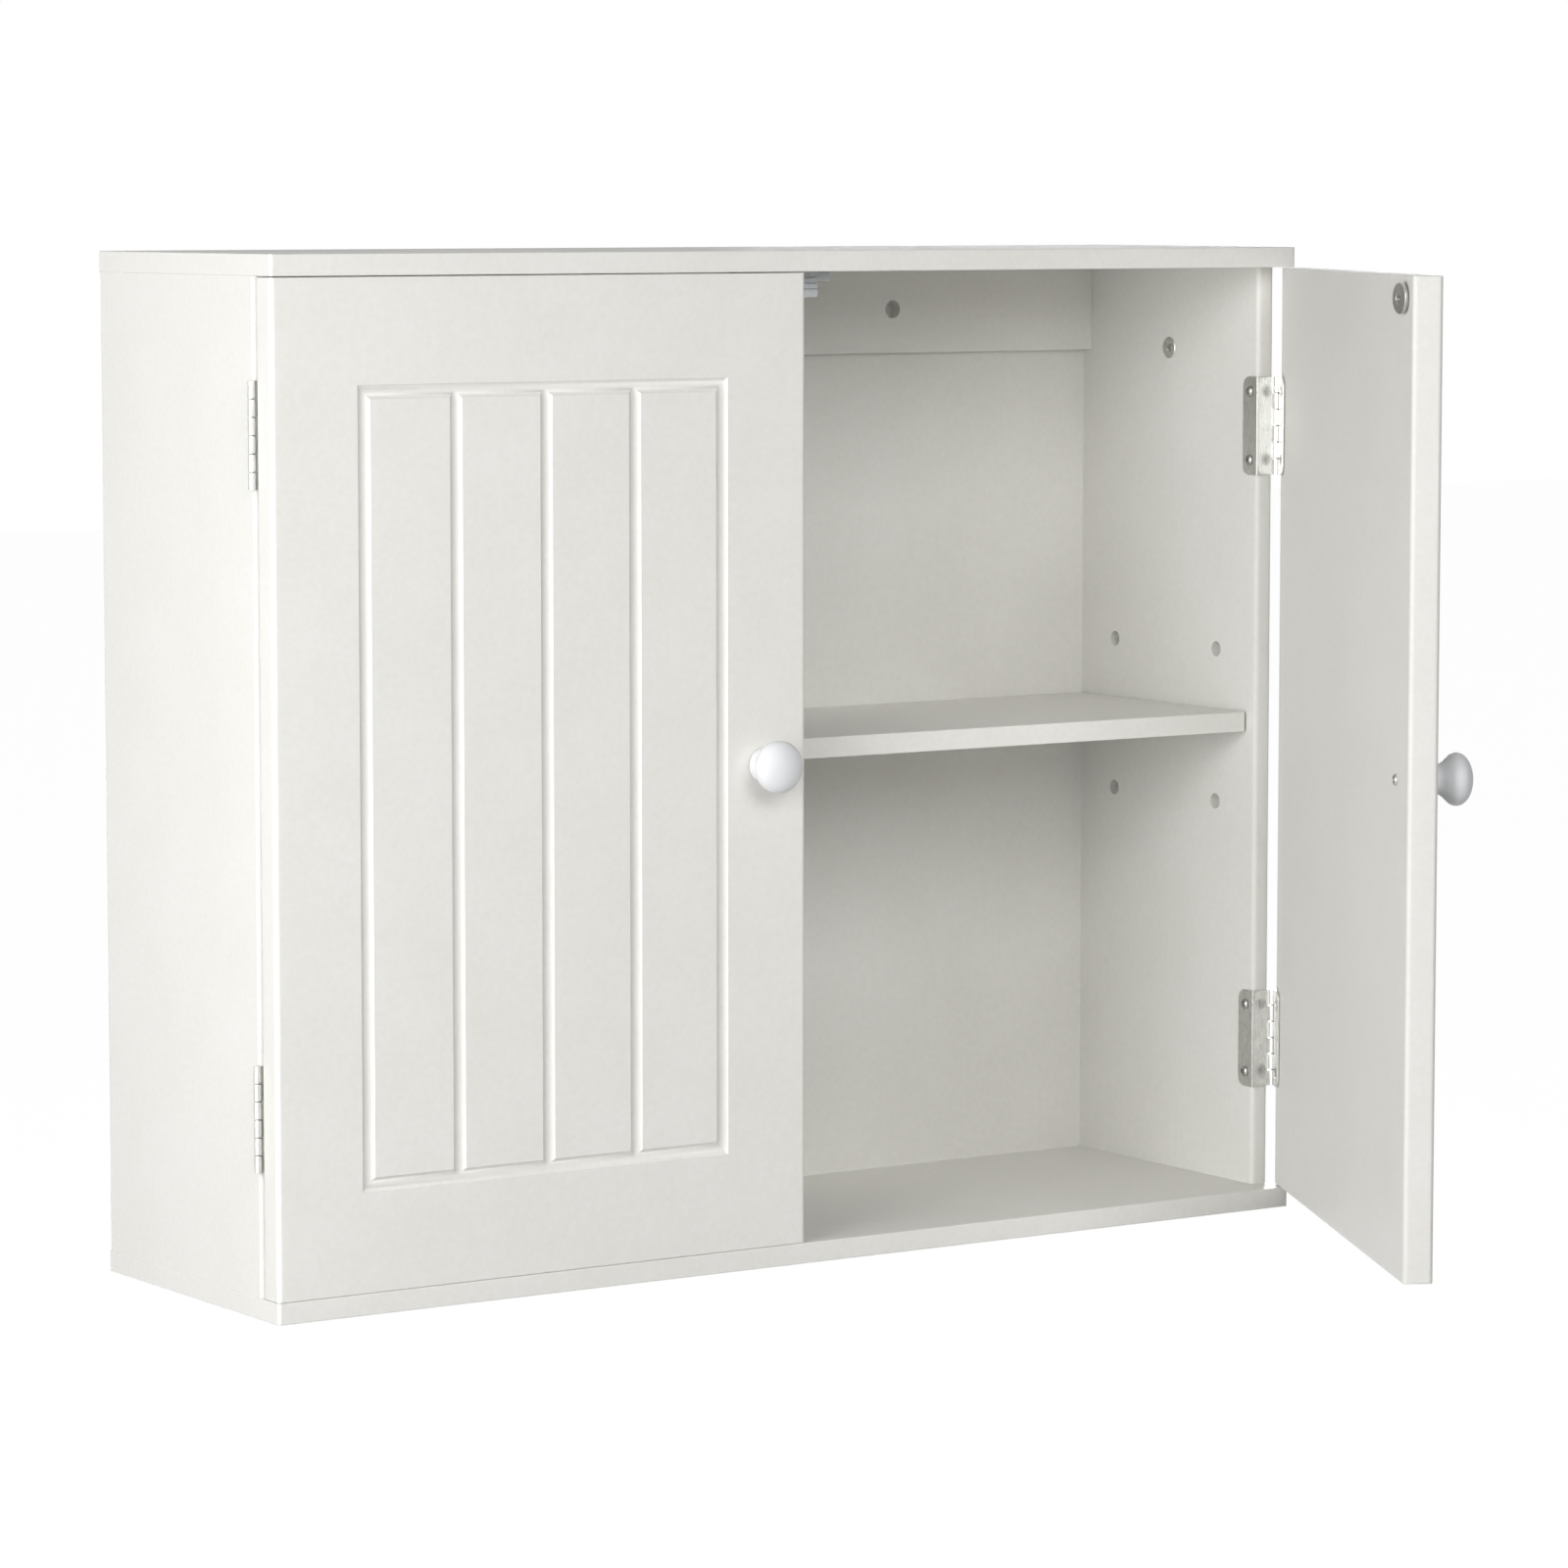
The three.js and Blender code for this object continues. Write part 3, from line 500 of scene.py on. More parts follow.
knob_paint, tree, shader, place = new_finish("satin_white_knob_lacquer")
shader.inputs["Base Color"].default_value = linear(KNOB_WHITE)
shader.inputs["IOR"].default_value = 1.5
shader.inputs["Specular IOR Level"].default_value = 0.3
haze = add_node(tree, "ShaderNodeTexNoise", {"Scale": 1 / (7 * MM), "Detail": 4.0},
                {"Vector": place})
haze_range = add_node(tree, "ShaderNodeMapRange",
                      {"From Min": 0.3, "From Max": 0.7, "To Min": 0.42, "To Max": 0.5},
                      {"Value": haze.outputs["Fac"]})
tree.links.new(haze_range.outputs["Result"], shader.inputs["Roughness"])
turning = add_node(tree, "ShaderNodeTexNoise", {"Scale": 1 / (2 * MM), "Detail": 1.0},
                   {"Vector": place})
knob_bump = add_node(tree, "ShaderNodeBump", {"Strength": 0.12, "Distance": 0.03 * MM},
                     {"Height": turning.outputs["Fac"]})
tree.links.new(knob_bump.outputs["Normal"], shader.inputs["Normal"])


def turned_piece(profile, base, aim, sides=48):
    """Drawn up from a ring: each step is extruded along the axis and resized to its radius."""
    first_r, first_along = profile[0]
    bpy.ops.mesh.primitive_circle_add(vertices=sides, radius=first_r * MM,
                                      fill_type="NGON", location=(0, 0, first_along * MM))
    piece = bpy.context.object
    settle(piece)
    bpy.ops.object.mode_set(mode="EDIT")
    radius, along = first_r, first_along
    for next_r, next_along in profile[1:]:
        bpy.ops.mesh.extrude_region_move(
            TRANSFORM_OT_translate={"value": (0, 0, (next_along - along) * MM)})
        scale = next_r / radius
        bpy.ops.transform.resize(value=(scale, scale, 1), center_override=(0, 0, 0))
        radius, along = next_r, next_along
    bpy.ops.mesh.select_all(action="SELECT")
    bpy.ops.mesh.remove_doubles(threshold=0.001 * MM)
    bpy.ops.object.mode_set(mode="OBJECT")
    piece.rotation_mode = "QUATERNION"
    piece.rotation_quaternion = Vector(aim).to_track_quat("Z", "Y")
    piece.location = base
    settle(piece)
    finish_shell(piece)
    return piece


knob_foot = Vector((knob_screw.x, FRONT - KNOB_STAND_OFF, knob_screw.z))
knob = turned_piece(KNOB_PROFILE, knob_foot, (0, -1, 0), 40)
apply_modifier(knob, "SUBSURF", levels=1, render_levels=1)
only(knob)
bpy.ops.object.shade_smooth()
right_knob = right_door_copy(knob)
hand_over(knob, "knob_turned_left", knob_paint, "left_door", "knob_left")
hand_over(right_knob, "knob_turned_right", knob_paint, "right_door",
          "knob_right")


# ---- Bright steel of the hinges and screws --------------------------------------------------
# The hinge leaves are pressed steel with a bright nickel plate, faintly brushed along their
# length, and turn on steel pins darkened as painted shade, so the knuckle gaps read as shadowed
# lines. The screws are zinc-plated, a little duller.

NICKEL = "#D8D8D5"
# painted shade: the pins are darker than the leaves so the gaps between the knuckles show as
# shadowed lines
PIN_GAP_SHADE = "#77777A"
ZINC = "#B4B4B0"
MOTTLE_SIZE = 4 * MM
MOTTLE_TONE = 0.97  # the darker tone of the mottle, as a share of the colour


def plated_metal(name, colour, smooth, rough, brush_mm):
    """Metal whose gloss varies in fine upright streaks and its tone in a soft mottle."""
    material, tree, shader, place = new_finish(name)
    shader.inputs["Metallic"].default_value = 1
    stretch = add_node(tree, "ShaderNodeMapping", {"Scale": (1, 1, 0.04)}, {"Vector": place})
    streaks = add_node(tree, "ShaderNodeTexNoise", {"Scale": 1 / (brush_mm * MM), "Detail": 3.0},
                       {"Vector": stretch.outputs["Vector"]})
    gloss = add_node(tree, "ShaderNodeMapRange",
                     {"From Min": 0.3, "From Max": 0.7, "To Min": smooth, "To Max": rough},
                     {"Value": streaks.outputs["Fac"]})
    tree.links.new(gloss.outputs["Result"], shader.inputs["Roughness"])
    mottle = add_node(tree, "ShaderNodeTexNoise", {"Scale": 1 / MOTTLE_SIZE, "Detail": 4.0},
                      {"Vector": place})
    levels = [int(int(colour[i:i + 2], 16) * MOTTLE_TONE) for i in (1, 3, 5)]
    darker = "#" + "".join(f"{level:02X}" for level in levels)
    tree.links.new(mixed_colours(tree, mottle.outputs["Fac"], darker, colour),
                   shader.inputs["Base Color"])
    ridges = add_node(tree, "ShaderNodeBump", {"Strength": 0.03, "Distance": 0.01 * MM},
                      {"Height": streaks.outputs["Fac"]})
    tree.links.new(ridges.outputs["Normal"], shader.inputs["Normal"])
    return material


nickel = plated_metal("bright_nickel_plate", NICKEL, 0.24, 0.32, 0.25)
# the pins' metal carries painted shade for the knuckle gaps
pin_gap_shade_metal = plated_metal("pin_steel_painted_gap_shade", PIN_GAP_SHADE, 0.3, 0.42, 0.4)
zinc = plated_metal("bright_zinc_plate", ZINC, 0.28, 0.4, 0.4)


# ---- Screws -------------------------------------------------------------------------------
# Pan-head screws hold the case leaves, the knobs and the catch; countersunk ones hold the door
# leaves, the strike plates and the bottom. Each kind is drawn once from the origin along +Z,
# with a cross recess struck in its head, and copied to its seats.

RECESS_ARM = 0.6  # half length of the cross recess, as a share of the head's radius
RECESS_THIN = 0.2  # half width of an arm, as the same share
RECESS_TAPER = 0.55  # size of the recess at its bottom
PITCH = 1.1  # of the thread, in millimetres
THREAD_ROOT = 0.72  # as a share of the shank's radius


def threaded_shank(radius, length):
    """A shank with a rolled thread: rings swell and shrink along it down to a point."""
    steps = int((length - 2.5) / (PITCH / 2))
    profile = [(radius * 0.8, 0.0)]
    for i in range(steps):
        profile.append((radius * (1 if i % 2 == 0 else THREAD_ROOT), 0.6 + i * PITCH / 2))
    profile.append((radius * 0.5, length - 1.2))
    profile.append((radius * 0.12, length))
    return profile


def cross_recess(piece, head_r, face_z, depth):
    """Cuts the cross in a head whose top faces -Z at face_z. All lengths in millimetres."""
    arm = head_r * RECESS_ARM
    thin = head_r * RECESS_THIN
    for long_x, long_y in ((arm, thin), (thin, arm)):
        tool = new_block((-long_x * MM, -long_y * MM, (face_z - 0.5) * MM),
                         (long_x * MM, long_y * MM, (face_z + depth) * MM))
        only(tool)
        bpy.ops.object.mode_set(mode="EDIT")
        bpy.ops.mesh.select_all(action="DESELECT")
        bpy.ops.object.mode_set(mode="OBJECT")
        for face in tool.data.polygons:
            face.select = face.normal.z > 0.9
        bpy.ops.object.mode_set(mode="EDIT")
        bpy.ops.transform.resize(value=(RECESS_TAPER, RECESS_TAPER, 1))
        bpy.ops.object.mode_set(mode="OBJECT")
        cut(piece, tool)


def pan_screw(head_r, head_height, shank_r, length):
    """A domed head standing on the plane z = 0, facing -Z, with its shank along +Z."""
    dome = [(head_r * math.sin(math.radians(a)), -head_height * math.cos(math.radians(a)))
            for a in (6, 22, 38, 54, 70, 84)]
    profile = [*dome, (head_r, -0.12), (head_r * 0.97, 0.0)]
    profile += [(r, z + 0.01) for r, z in threaded_shank(shank_r, length)]
    screw = turned_piece(profile, (0, 0, 0), (0, 0, 1), 32)
    cross_recess(screw, head_r, -head_height, head_height * 0.75)
    finish_shell(screw)
    return screw


def flat_screw(head_r, head_depth, shank_r, length):
    """A countersunk head whose face lies in the plane z = 0, with its shank along +Z."""
    profile = [(head_r * 0.9, 0.0), (head_r, 0.12), (shank_r, head_depth)]
    profile += [(r, z + head_depth + 0.01)
                for r, z in threaded_shank(shank_r, length - head_depth)]
    screw = turned_piece(profile, (0, 0, 0), (0, 0, 1), 32)
    cross_recess(screw, head_r, 0.0, head_depth * 0.7)
    finish_shell(screw)
    return screw


def point_along(aim, seat, spin=0.0):
    """Places a screw drawn down +Z so that it points along aim from its seat."""
    turn = Vector(aim).to_track_quat("Z", "Y").to_matrix().to_4x4()
    return Matrix.Translation(seat) @ turn @ Matrix.Rotation(math.radians(spin), 4, "Z")


# The hinge screws, in millimetres
LEAF_SCREW_R = 2.7
LEAF_SCREW_HEAD = 1.5  # height of the dome, and depth of the countersunk head
SHANK_R = 1.4
SCREW_LENGTH = 9.0
pan = pan_screw(LEAF_SCREW_R, LEAF_SCREW_HEAD, SHANK_R, SCREW_LENGTH)
flat = flat_screw(LEAF_SCREW_R, LEAF_SCREW_HEAD, SHANK_R, SCREW_LENGTH)
SPINS = (20, 65, 5, 40)  # degrees, so that neighbouring cross recesses stand differently
CASE_SCREW_SEAT = 1.6 * MM  # from the outermost point of the dome to the plane it stands on

count = 0
for level in ("upper", "lower"):
    for word, side in SIDES.items():
        for number in (1, 2):
            node = f"case_leaf_screw_{level}_{word}_{number}"
            low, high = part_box(node)
            middle = (low + high) / 2
            head = low.x if side > 0 else high.x  # the outermost point of the dome
            seat = (head + side * CASE_SCREW_SEAT, middle.y, middle.z)
            screw = copy_of(pan, point_along((side, 0, 0), seat, SPINS[count % 4]))
            hand_over(screw, f"{node}_turned", zinc, "cabinet", node)
            count += 1

DOOR_SCREW_IN = 7.2 * MM  # hinge axis to the screws of the door leaf
LEAF_GAP_HALF = 0.1 * MM  # half the gap between the two leaves
for level in ("upper", "lower"):
    for word in WORDS:
        for number in (1, 2):
            node = f"door_leaf_screw_{level}_{word}_{number}"
            seat = Vector((LEFT_AXIS.x + DOOR_SCREW_IN, LEFT_AXIS.y - LEAF_GAP_HALF,
                           spot(node).z))
            placed = point_along((0, -1, 0), seat, SPINS[count % 4])
            if word == "right":
                placed = STAND_OPEN @ MIRROR @ placed
            screw = copy_of(flat, placed)
            hand_over(screw, f"{node}_turned", zinc, f"{word}_door", node)
            count += 1

knob_bolt = pan_screw(2.9, 1.8, 1.9, 22)
knob_bolt_seat = (knob_screw.x, door_back + 0.05 * MM, knob_screw.z)
left_bolt = copy_of(knob_bolt, point_along((0, -1, 0), knob_bolt_seat, 20))
right_bolt = right_door_copy(left_bolt)
hand_over(left_bolt, "knob_screw_left_turned", zinc, "left_door",
          "knob_screw_left")
hand_over(right_bolt, "knob_screw_right_turned", zinc, "right_door",
          "knob_screw_right")

bottom_screw = flat_screw(3.6, 3.0, 1.8, 38)
for word in WORDS:
    node = f"bottom_screw_{word}"
    low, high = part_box(node)
    seat = (spot(node).x, spot(node).y, low.z)
    screw = copy_of(bottom_screw, point_along((0, 0, 1), seat, 30))
    hand_over(screw, f"{node}_turned", zinc, "cabinet", node)


# ---- Hinges -------------------------------------------------------------------------------
# A wrap-round butt hinge: one leaf is bent over the front edge of the side panel and screwed
# inside, the other lies flat on the door. Six knuckles, three on each leaf, turn on a pin.
# The hinge is drawn at the origin for the left side, with the door shut, and copied.

LEAF = 0.9 * MM  # thickness of the sheet
LEAF_HALF = 25.5 * MM  # half the height of the hinge
BARREL_R = 2 * MM
PIN_R = 1 * MM
KNUCKLES = 6
KNUCKLE = 2 * LEAF_HALF / KNUCKLES
KNUCKLE_GAP = 0.5 * MM
KNUCKLE_EDGE = 0.22 * MM
LEAF_CORNER = 5 * MM
LEAF_EDGE = 0.12 * MM
SHARP = math.radians(60)
BEND = 0.45 * MM  # outer radius of the bend
FLANGE_OUTER = 12.4 * MM  # hinge axis to the face of the flange on the side panel
FLANGE_INNER = FLANGE_OUTER + LEAF
FLANGE_END = 12 * MM
FLANGE_SCREW_IN = 6.4 * MM
DOOR_LEAF_END = 13 * MM
ROOT = BARREL_R + 0.9 * MM  # where the leaf proper begins
SCREW_SPREAD = 17.75 * MM  # from the middle of the leaf to each screw
SHY = 0.02 * MM  # the fingers are this much thinner than the leaf on each face
FINGER_START = 1.4 * MM  # inside the knuckle
FINGER_END = ROOT + 0.6 * MM  # inside the leaf
FINGER_SET_IN = 0.1 * MM  # from each end of the knuckle
SCREW_HOLE_R = 1.6 * MM
# The countersink in the door leaf, from just outside its face: radius and depth, millimetres
LEAF_SINK = ((3.14, -0.2), (1.6, 1.4), (1.6, 3.0))
PIN_EDGE = 0.35 * MM
PIN_SHORT = 0.2 * MM  # the pin ends this far inside the leaf's ends


def pick(piece, kind, wanted):
    """Selects a piece's vertices or edges by a test on their place, and opens edit mode."""
    only(piece)
    bpy.ops.object.mode_set(mode="EDIT")
    bpy.ops.mesh.select_mode(type=kind)
    bpy.ops.mesh.select_all(action="DESELECT")
    bpy.ops.object.mode_set(mode="OBJECT")
    points = [vertex.co for vertex in piece.data.vertices]
    if kind == "VERT":
        for vertex in piece.data.vertices:
            vertex.select = wanted(vertex.co)
    else:
        for edge in piece.data.edges:
            edge.select = all(wanted(points[i]) for i in edge.vertices)
    bpy.ops.object.mode_set(mode="EDIT")


def near_to(value, target):
    """Whether two lengths agree within a hundredth of a millimetre."""
    return abs(value - target) < 0.01 * MM


def sheet_strip(start, end, middle_y):
    """A flat strip of sheet with no thickness yet, as tall as the leaf."""
    bpy.ops.mesh.primitive_plane_add(size=1, rotation=(math.radians(90), 0, 0),
                                     location=((start + end) / 2, middle_y, 0))
    strip = bpy.context.object
    strip.scale = (end - start, 2 * LEAF_HALF, 1)
    settle(strip)
    return strip


def thicken(strip):
    """Gives the sheet its thickness, both ways from its middle."""
    apply_modifier(strip, "SOLIDIFY", thickness=LEAF, offset=0, use_even_offset=True)
    finish_shell(strip)


def add_knuckles(leaf, first, near, far):
    """Every second knuckle from the top, each with the finger that joins it to its leaf."""
    for i in range(first, KNUCKLES, 2):
        low = LEAF_HALF - (i + 1) * KNUCKLE + KNUCKLE_GAP / 2
        high = low + KNUCKLE - KNUCKLE_GAP
        barrel = new_rod(BARREL_R, (0, 0, low), (0, 0, high))
        ease_edges(barrel, KNUCKLE_EDGE, 2)
        join_on(leaf, new_block((FINGER_START, near + SHY, low + FINGER_SET_IN),
                                (FINGER_END, far - SHY, high - FINGER_SET_IN)))
        join_on(leaf, barrel)
    cut(leaf, new_rod(PIN_R + 0.05 * MM, (0, 0, -LEAF_HALF - MM), (0, 0, LEAF_HALF + MM), 32))


near, far = LEAF_GAP_HALF, LEAF_GAP_HALF + LEAF
sheet = (near + far) / 2
bend = (FLANGE_OUTER + FLANGE_INNER) / 2
case_leaf = sheet_strip(ROOT, bend, sheet)
pick(case_leaf, "EDGE", lambda p: near_to(p.x, bend))
bpy.ops.mesh.extrude_region_move(
    TRANSFORM_OT_translate={"value": (0, FLANGE_END - sheet, 0)})
pick(case_leaf, "VERT", lambda p: near_to(p.y, FLANGE_END))
bpy.ops.mesh.bevel(offset=LEAF_CORNER, segments=10, affect="VERTICES")
bpy.ops.object.mode_set(mode="OBJECT")
thicken(case_leaf)
pick(case_leaf, "EDGE", lambda p: near_to(p.x, FLANGE_INNER) and near_to(p.y, near))
bpy.ops.mesh.bevel(offset=BEND, segments=4, affect="EDGES")
bpy.ops.object.mode_set(mode="OBJECT")
ease_edges(case_leaf, LEAF_EDGE, 2, SHARP)
add_knuckles(case_leaf, 1, near, far)
for z in (SCREW_SPREAD, -SCREW_SPREAD):
    cut(case_leaf, new_rod(SCREW_HOLE_R, (FLANGE_OUTER - MM, FLANGE_SCREW_IN, z),
                           (FLANGE_INNER + MM, FLANGE_SCREW_IN, z), 24))
finish_shell(case_leaf)

door_leaf = sheet_strip(ROOT, DOOR_LEAF_END, -sheet)
pick(door_leaf, "VERT", lambda p: near_to(p.x, DOOR_LEAF_END))
bpy.ops.mesh.bevel(offset=LEAF_CORNER, segments=10, affect="VERTICES")
bpy.ops.object.mode_set(mode="OBJECT")
thicken(door_leaf)
ease_edges(door_leaf, LEAF_EDGE, 2, SHARP)
add_knuckles(door_leaf, 0, -far, -near)
for z in (SCREW_SPREAD, -SCREW_SPREAD):
    cut(door_leaf, turned_piece(LEAF_SINK, (DOOR_SCREW_IN, -near, z), (0, -1, 0), 32))
finish_shell(door_leaf)

pin = new_rod(PIN_R, (0, 0, -LEAF_HALF + PIN_SHORT), (0, 0, LEAF_HALF - PIN_SHORT), 32)
ease_edges(pin, PIN_EDGE, 3)
finish_shell(pin)

for level in ("upper", "lower"):
    for word, side in SIDES.items():
        name = f"{level}_{word}"
        height = spot(f"case_leaf_{name}").z
        if side < 0:
            at_case = Matrix.Translation((LEFT_AXIS.x, LEFT_AXIS.y, height))
            at_door = at_case
        else:
            at_case = Matrix.Translation((RIGHT_AXIS.x, RIGHT_AXIS.y, height)) @ MIRROR
            at_door = STAND_OPEN @ at_case
        for kind, shape, change, body, metal in (
                ("case_leaf", case_leaf, at_case, "cabinet", nickel),
                ("hinge_pin", pin, at_case, "cabinet", pin_gap_shade_metal),
                ("door_leaf", door_leaf, at_door, f"{word}_door", nickel)):
            piece = copy_of(shape, change)
            hand_over(piece, f"{kind}_{name}_finished", metal, body,
                      f"{kind}_{name}")


# ---- Magnetic catch -----------------------------------------------------------------------
# A moulded white housing under the top, ribbed in front, holds a magnet for each door. It is
# fixed by a pan-head screw up through an ear at each end.

CATCH_WHITE = "#D3D6D9"
CATCH_SHADE = "#CCCFD2"
FERRITE_DARK = "#2E2E30"
FERRITE_PALE = "#474749"

catch_plastic, tree, shader, place = new_finish("moulded_white_plastic")
grain = add_node(tree, "ShaderNodeTexNoise", {"Scale": 1 / (0.8 * MM), "Detail": 2.0},
                 {"Vector": place})
tree.links.new(mixed_colours(tree, grain.outputs["Fac"], CATCH_SHADE, CATCH_WHITE),
               shader.inputs["Base Color"])
shader.inputs["Roughness"].default_value = 0.4
shader.inputs["IOR"].default_value = 1.49
grain_bump = add_node(tree, "ShaderNodeBump", {"Strength": 0.2, "Distance": 0.02 * MM},
                      {"Height": grain.outputs["Fac"]})
tree.links.new(grain_bump.outputs["Normal"], shader.inputs["Normal"])

ferrite, tree, shader, place = new_finish("sintered_ferrite")
grit = add_node(tree, "ShaderNodeTexNoise", {"Scale": 1 / (0.5 * MM), "Detail": 4.0},
                {"Vector": place})
tree.links.new(mixed_colours(tree, grit.outputs["Fac"], FERRITE_DARK, FERRITE_PALE),
               shader.inputs["Base Color"])
shader.inputs["Roughness"].default_value = 0.7

house_low, house_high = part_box("catch_housing")
BODY_HALF = 15.9 * MM  # half the width between the ears
EAR_THICK = 4.9 * MM
EAR_SET_BACK = 4.5 * MM
EAR_DEPTH = 11 * MM
RIB_PITCH = 2.9 * MM
RIB_SLOT_DEEP = 1.2 * MM
RIB_SLOT_TALL = 0.8 * MM
EAR_EDGE = 1.2 * MM
BODY_EDGE = 0.35 * MM
MAGNET_ROOM = Vector((0.15, 0.15, 0.15)) * MM
MAGNET_EDGE = 0.3 * MM
body_top = house_high.z
housing = new_block((-BODY_HALF, house_low.y, house_low.z), (BODY_HALF, house_high.y, body_top))
ears = new_block(
    (house_low.x, house_low.y + EAR_SET_BACK, body_top - EAR_THICK),
    (house_high.x, house_low.y + EAR_SET_BACK + EAR_DEPTH, body_top))
ease_edges(ears, EAR_EDGE, 4)
ease_edges(housing, BODY_EDGE, 3)
join_on(housing, ears)
for step in (1, 2, 3):
    z = body_top - RIB_PITCH * step
    cut(housing, new_block(
        (-BODY_HALF - MM, house_low.y - MM, z - RIB_SLOT_TALL / 2),
        (BODY_HALF + MM, house_low.y + RIB_SLOT_DEEP, z + RIB_SLOT_TALL / 2)))
for word in WORDS:
    low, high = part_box(f"catch_magnet_{word}")
    open_back = Vector((high.x, house_high.y + MM, high.z))
    cut(housing, new_block(low - MAGNET_ROOM, open_back + MAGNET_ROOM))
    hole = spot(f"catch_screw_{word}")
    cut(housing, new_rod(PILOT_R, (hole.x, hole.y, house_low.z),
                         (hole.x, hole.y, body_top + MM), 24))
finish_shell(housing)
hand_over(housing, "catch_housing_moulded", catch_plastic, "cabinet",
          "catch_housing")

# The magnets go in from behind, and the thin ribbed front of the housing covers them.
for word in WORDS:
    node = f"catch_magnet_{word}"
    low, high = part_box(node)
    magnet = new_block(low, high)
    ease_edges(magnet, MAGNET_EDGE, 2)
    finish_shell(magnet)
    hand_over(magnet, f"{node}_sintered", ferrite, "cabinet", node)

CATCH_SCREW_SEAT = 1.35 * MM  # from the lowest point of the dome to the plane it stands on
catch_screw = pan_screw(2.5, 1.3, 1.3, 11)
for word in WORDS:
    node = f"catch_screw_{word}"
    low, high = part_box(node)
    seat = (spot(node).x, spot(node).y, low.z + CATCH_SCREW_SEAT)
    screw = copy_of(catch_screw, point_along((0, 0, 1), seat, 15))
    hand_over(screw, f"{node}_turned", zinc, "cabinet", node)


# ---- Strike plates ------------------------------------------------------------------------
# A plain round steel disc inside the top free corner of each door, loose on its countersunk
# screw so that it can lie flat on the magnet. On the open door it hangs a little askew.

STRIKE_R = 7.5 * MM
STRIKE_THICK = 2 * MM
STRIKE_EDGE = 0.45 * MM
STRIKE_GAP = 0.2 * MM  # least distance from the door
STRIKE_TILT = math.radians(11)
STRIKE_STEEL = "#B6B6B2"
# The countersink in the disc, drawn from just outside its face: radius and depth, millimetres
STRIKE_SINK = ((3.55, -0.3), (1.9, 1.7), (1.9, 4.0))

strike_metal = plated_metal("plain_plated_steel", STRIKE_STEEL, 0.28, 0.4, 0.5)
disc = new_rod(STRIKE_R, (0, 0, 0), (0, STRIKE_THICK, 0), 96)
ease_edges(disc, STRIKE_EDGE, 4)
cut(disc, turned_piece(STRIKE_SINK, (0, STRIKE_THICK, 0), (0, -1, 0)))
finish_shell(disc)
strike_screw = flat_screw(3.2, 1.8, 1.4, 11)
for word, tilt, swing in (("left", 0.0, Matrix.Identity(4)),
                          ("right", STRIKE_TILT, STAND_OPEN @ MIRROR)):
    stand_off = STRIKE_GAP + STRIKE_R * math.sin(tilt)
    seat = Matrix.Translation((strike.x, door_back + stand_off, strike.z))
    placed = swing @ seat @ Matrix.Rotation(-tilt, 4, "Z")
    plate = copy_of(disc, placed)
    screw = copy_of(strike_screw, placed @ point_along((0, -1, 0), (0, STRIKE_THICK, 0), 25))
    hand_over(plate, f"strike_plate_{word}_pressed", strike_metal, f"{word}_door",
              f"strike_plate_{word}")
    hand_over(screw, f"strike_screw_{word}_turned", zinc, f"{word}_door",
              f"strike_screw_{word}")


# ---- Cam locks, their bolts and the shelf pegs ----------------------------------------------
# Die-cast cams sit flush in the sides and draw the top down on its bolts. The shelf rests on
# four plated steel pegs that plug into the sides and run in slots under the shelf.

CAST_GREY = "#D4D4D0"
# radius and distance along the axis, in millimetres
CAM_PROFILE = ((4.9, 0.0), (5.5, 0.5), (5.5, 1.6), (5.2, 1.8), (5.2, 6.0), (5.5, 6.2),
               (5.5, 7.6), (5.0, 8.0))
BOLT_HEAD = ((1.9, 0.0), (2.0, 0.3), (2.0, 1.6), (1.2, 2.0), (1.2, 4.2), (2.0, 4.6))
PEG_PROFILE = ((3.4, 0.0), (3.8, 0.4), (3.8, 6.2), (3.4, 6.6), (2.0, 6.65), (2.0, 13.2),
               (1.4, 13.8))
PEG_IN = 6.8 * MM  # how far a peg goes into the side

cast_zinc = plated_metal("die_cast_zinc", CAST_GREY, 0.38, 0.52, 1.2)
for word, side in SIDES.items():
    node = f"cam_lock_{word}"
    middle = spot(node)
    face = side * INNER_FACE
    cam = turned_piece(CAM_PROFILE, (0, 0, 0), (0, 0, 1))
    cross_recess(cam, 4.6, 0.0, 2.2)
    # A short groove beside the cross shows which way the cam is turned.
    cut(cam, new_block((2.2 * MM, -0.35 * MM, -0.3 * MM), (4.2 * MM, 0.35 * MM, 0.4 * MM)))
    finish_shell(cam)
    cam.data.transform(point_along((side, 0, 0), (face, middle.y, middle.z), 45))
    hand_over(cam, f"{node}_cast", cast_zinc, "cabinet", node)
    node = f"cam_bolt_{word}"
    low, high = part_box(node)
    length = (high.z - low.z) / MM
    thread = [(2.0 if i % 2 else 1.6, length - 6.8 + 0.6 * i) for i in range(10)]
    bolt = turned_piece((*BOLT_HEAD, (2.0, length - 8), (1.6, length - 7.4), *thread,
                         (1.2, length)),
                        (spot(node).x, spot(node).y, low.z), (0, 0, 1), 32)
    hand_over(bolt, f"{node}_turned", zinc, "cabinet", node)
    for place_word in ("front", "rear"):
        node = f"shelf_peg_{word}_{place_word}"
        middle = spot(node)
        peg = turned_piece(PEG_PROFILE, (face + side * PEG_IN, middle.y, middle.z),
                           (-side, 0, 0), 32)
        hand_over(peg, f"{node}_turned", zinc, "cabinet", node)

# The drawn patterns go once every copy is in place.
for pattern in (pan, flat, knob_bolt, bottom_screw, catch_screw, strike_screw, disc, case_leaf,
                door_leaf, pin):
    bpy.data.objects.remove(pattern)


# ---- Floor and light ------------------------------------------------------------------------
# A plain pale floor well under the cabinet and a white surround. One soft lamp stands near the
# left side, one farther left, one high in front, and a fill lights the back and right side.

FLOOR_DROP = 0.9  # below the cabinet
FLOOR_GLOW = 0.97  # what the camera sees of the floor besides the light that falls on it
FLOOR_SEEN = 0.5

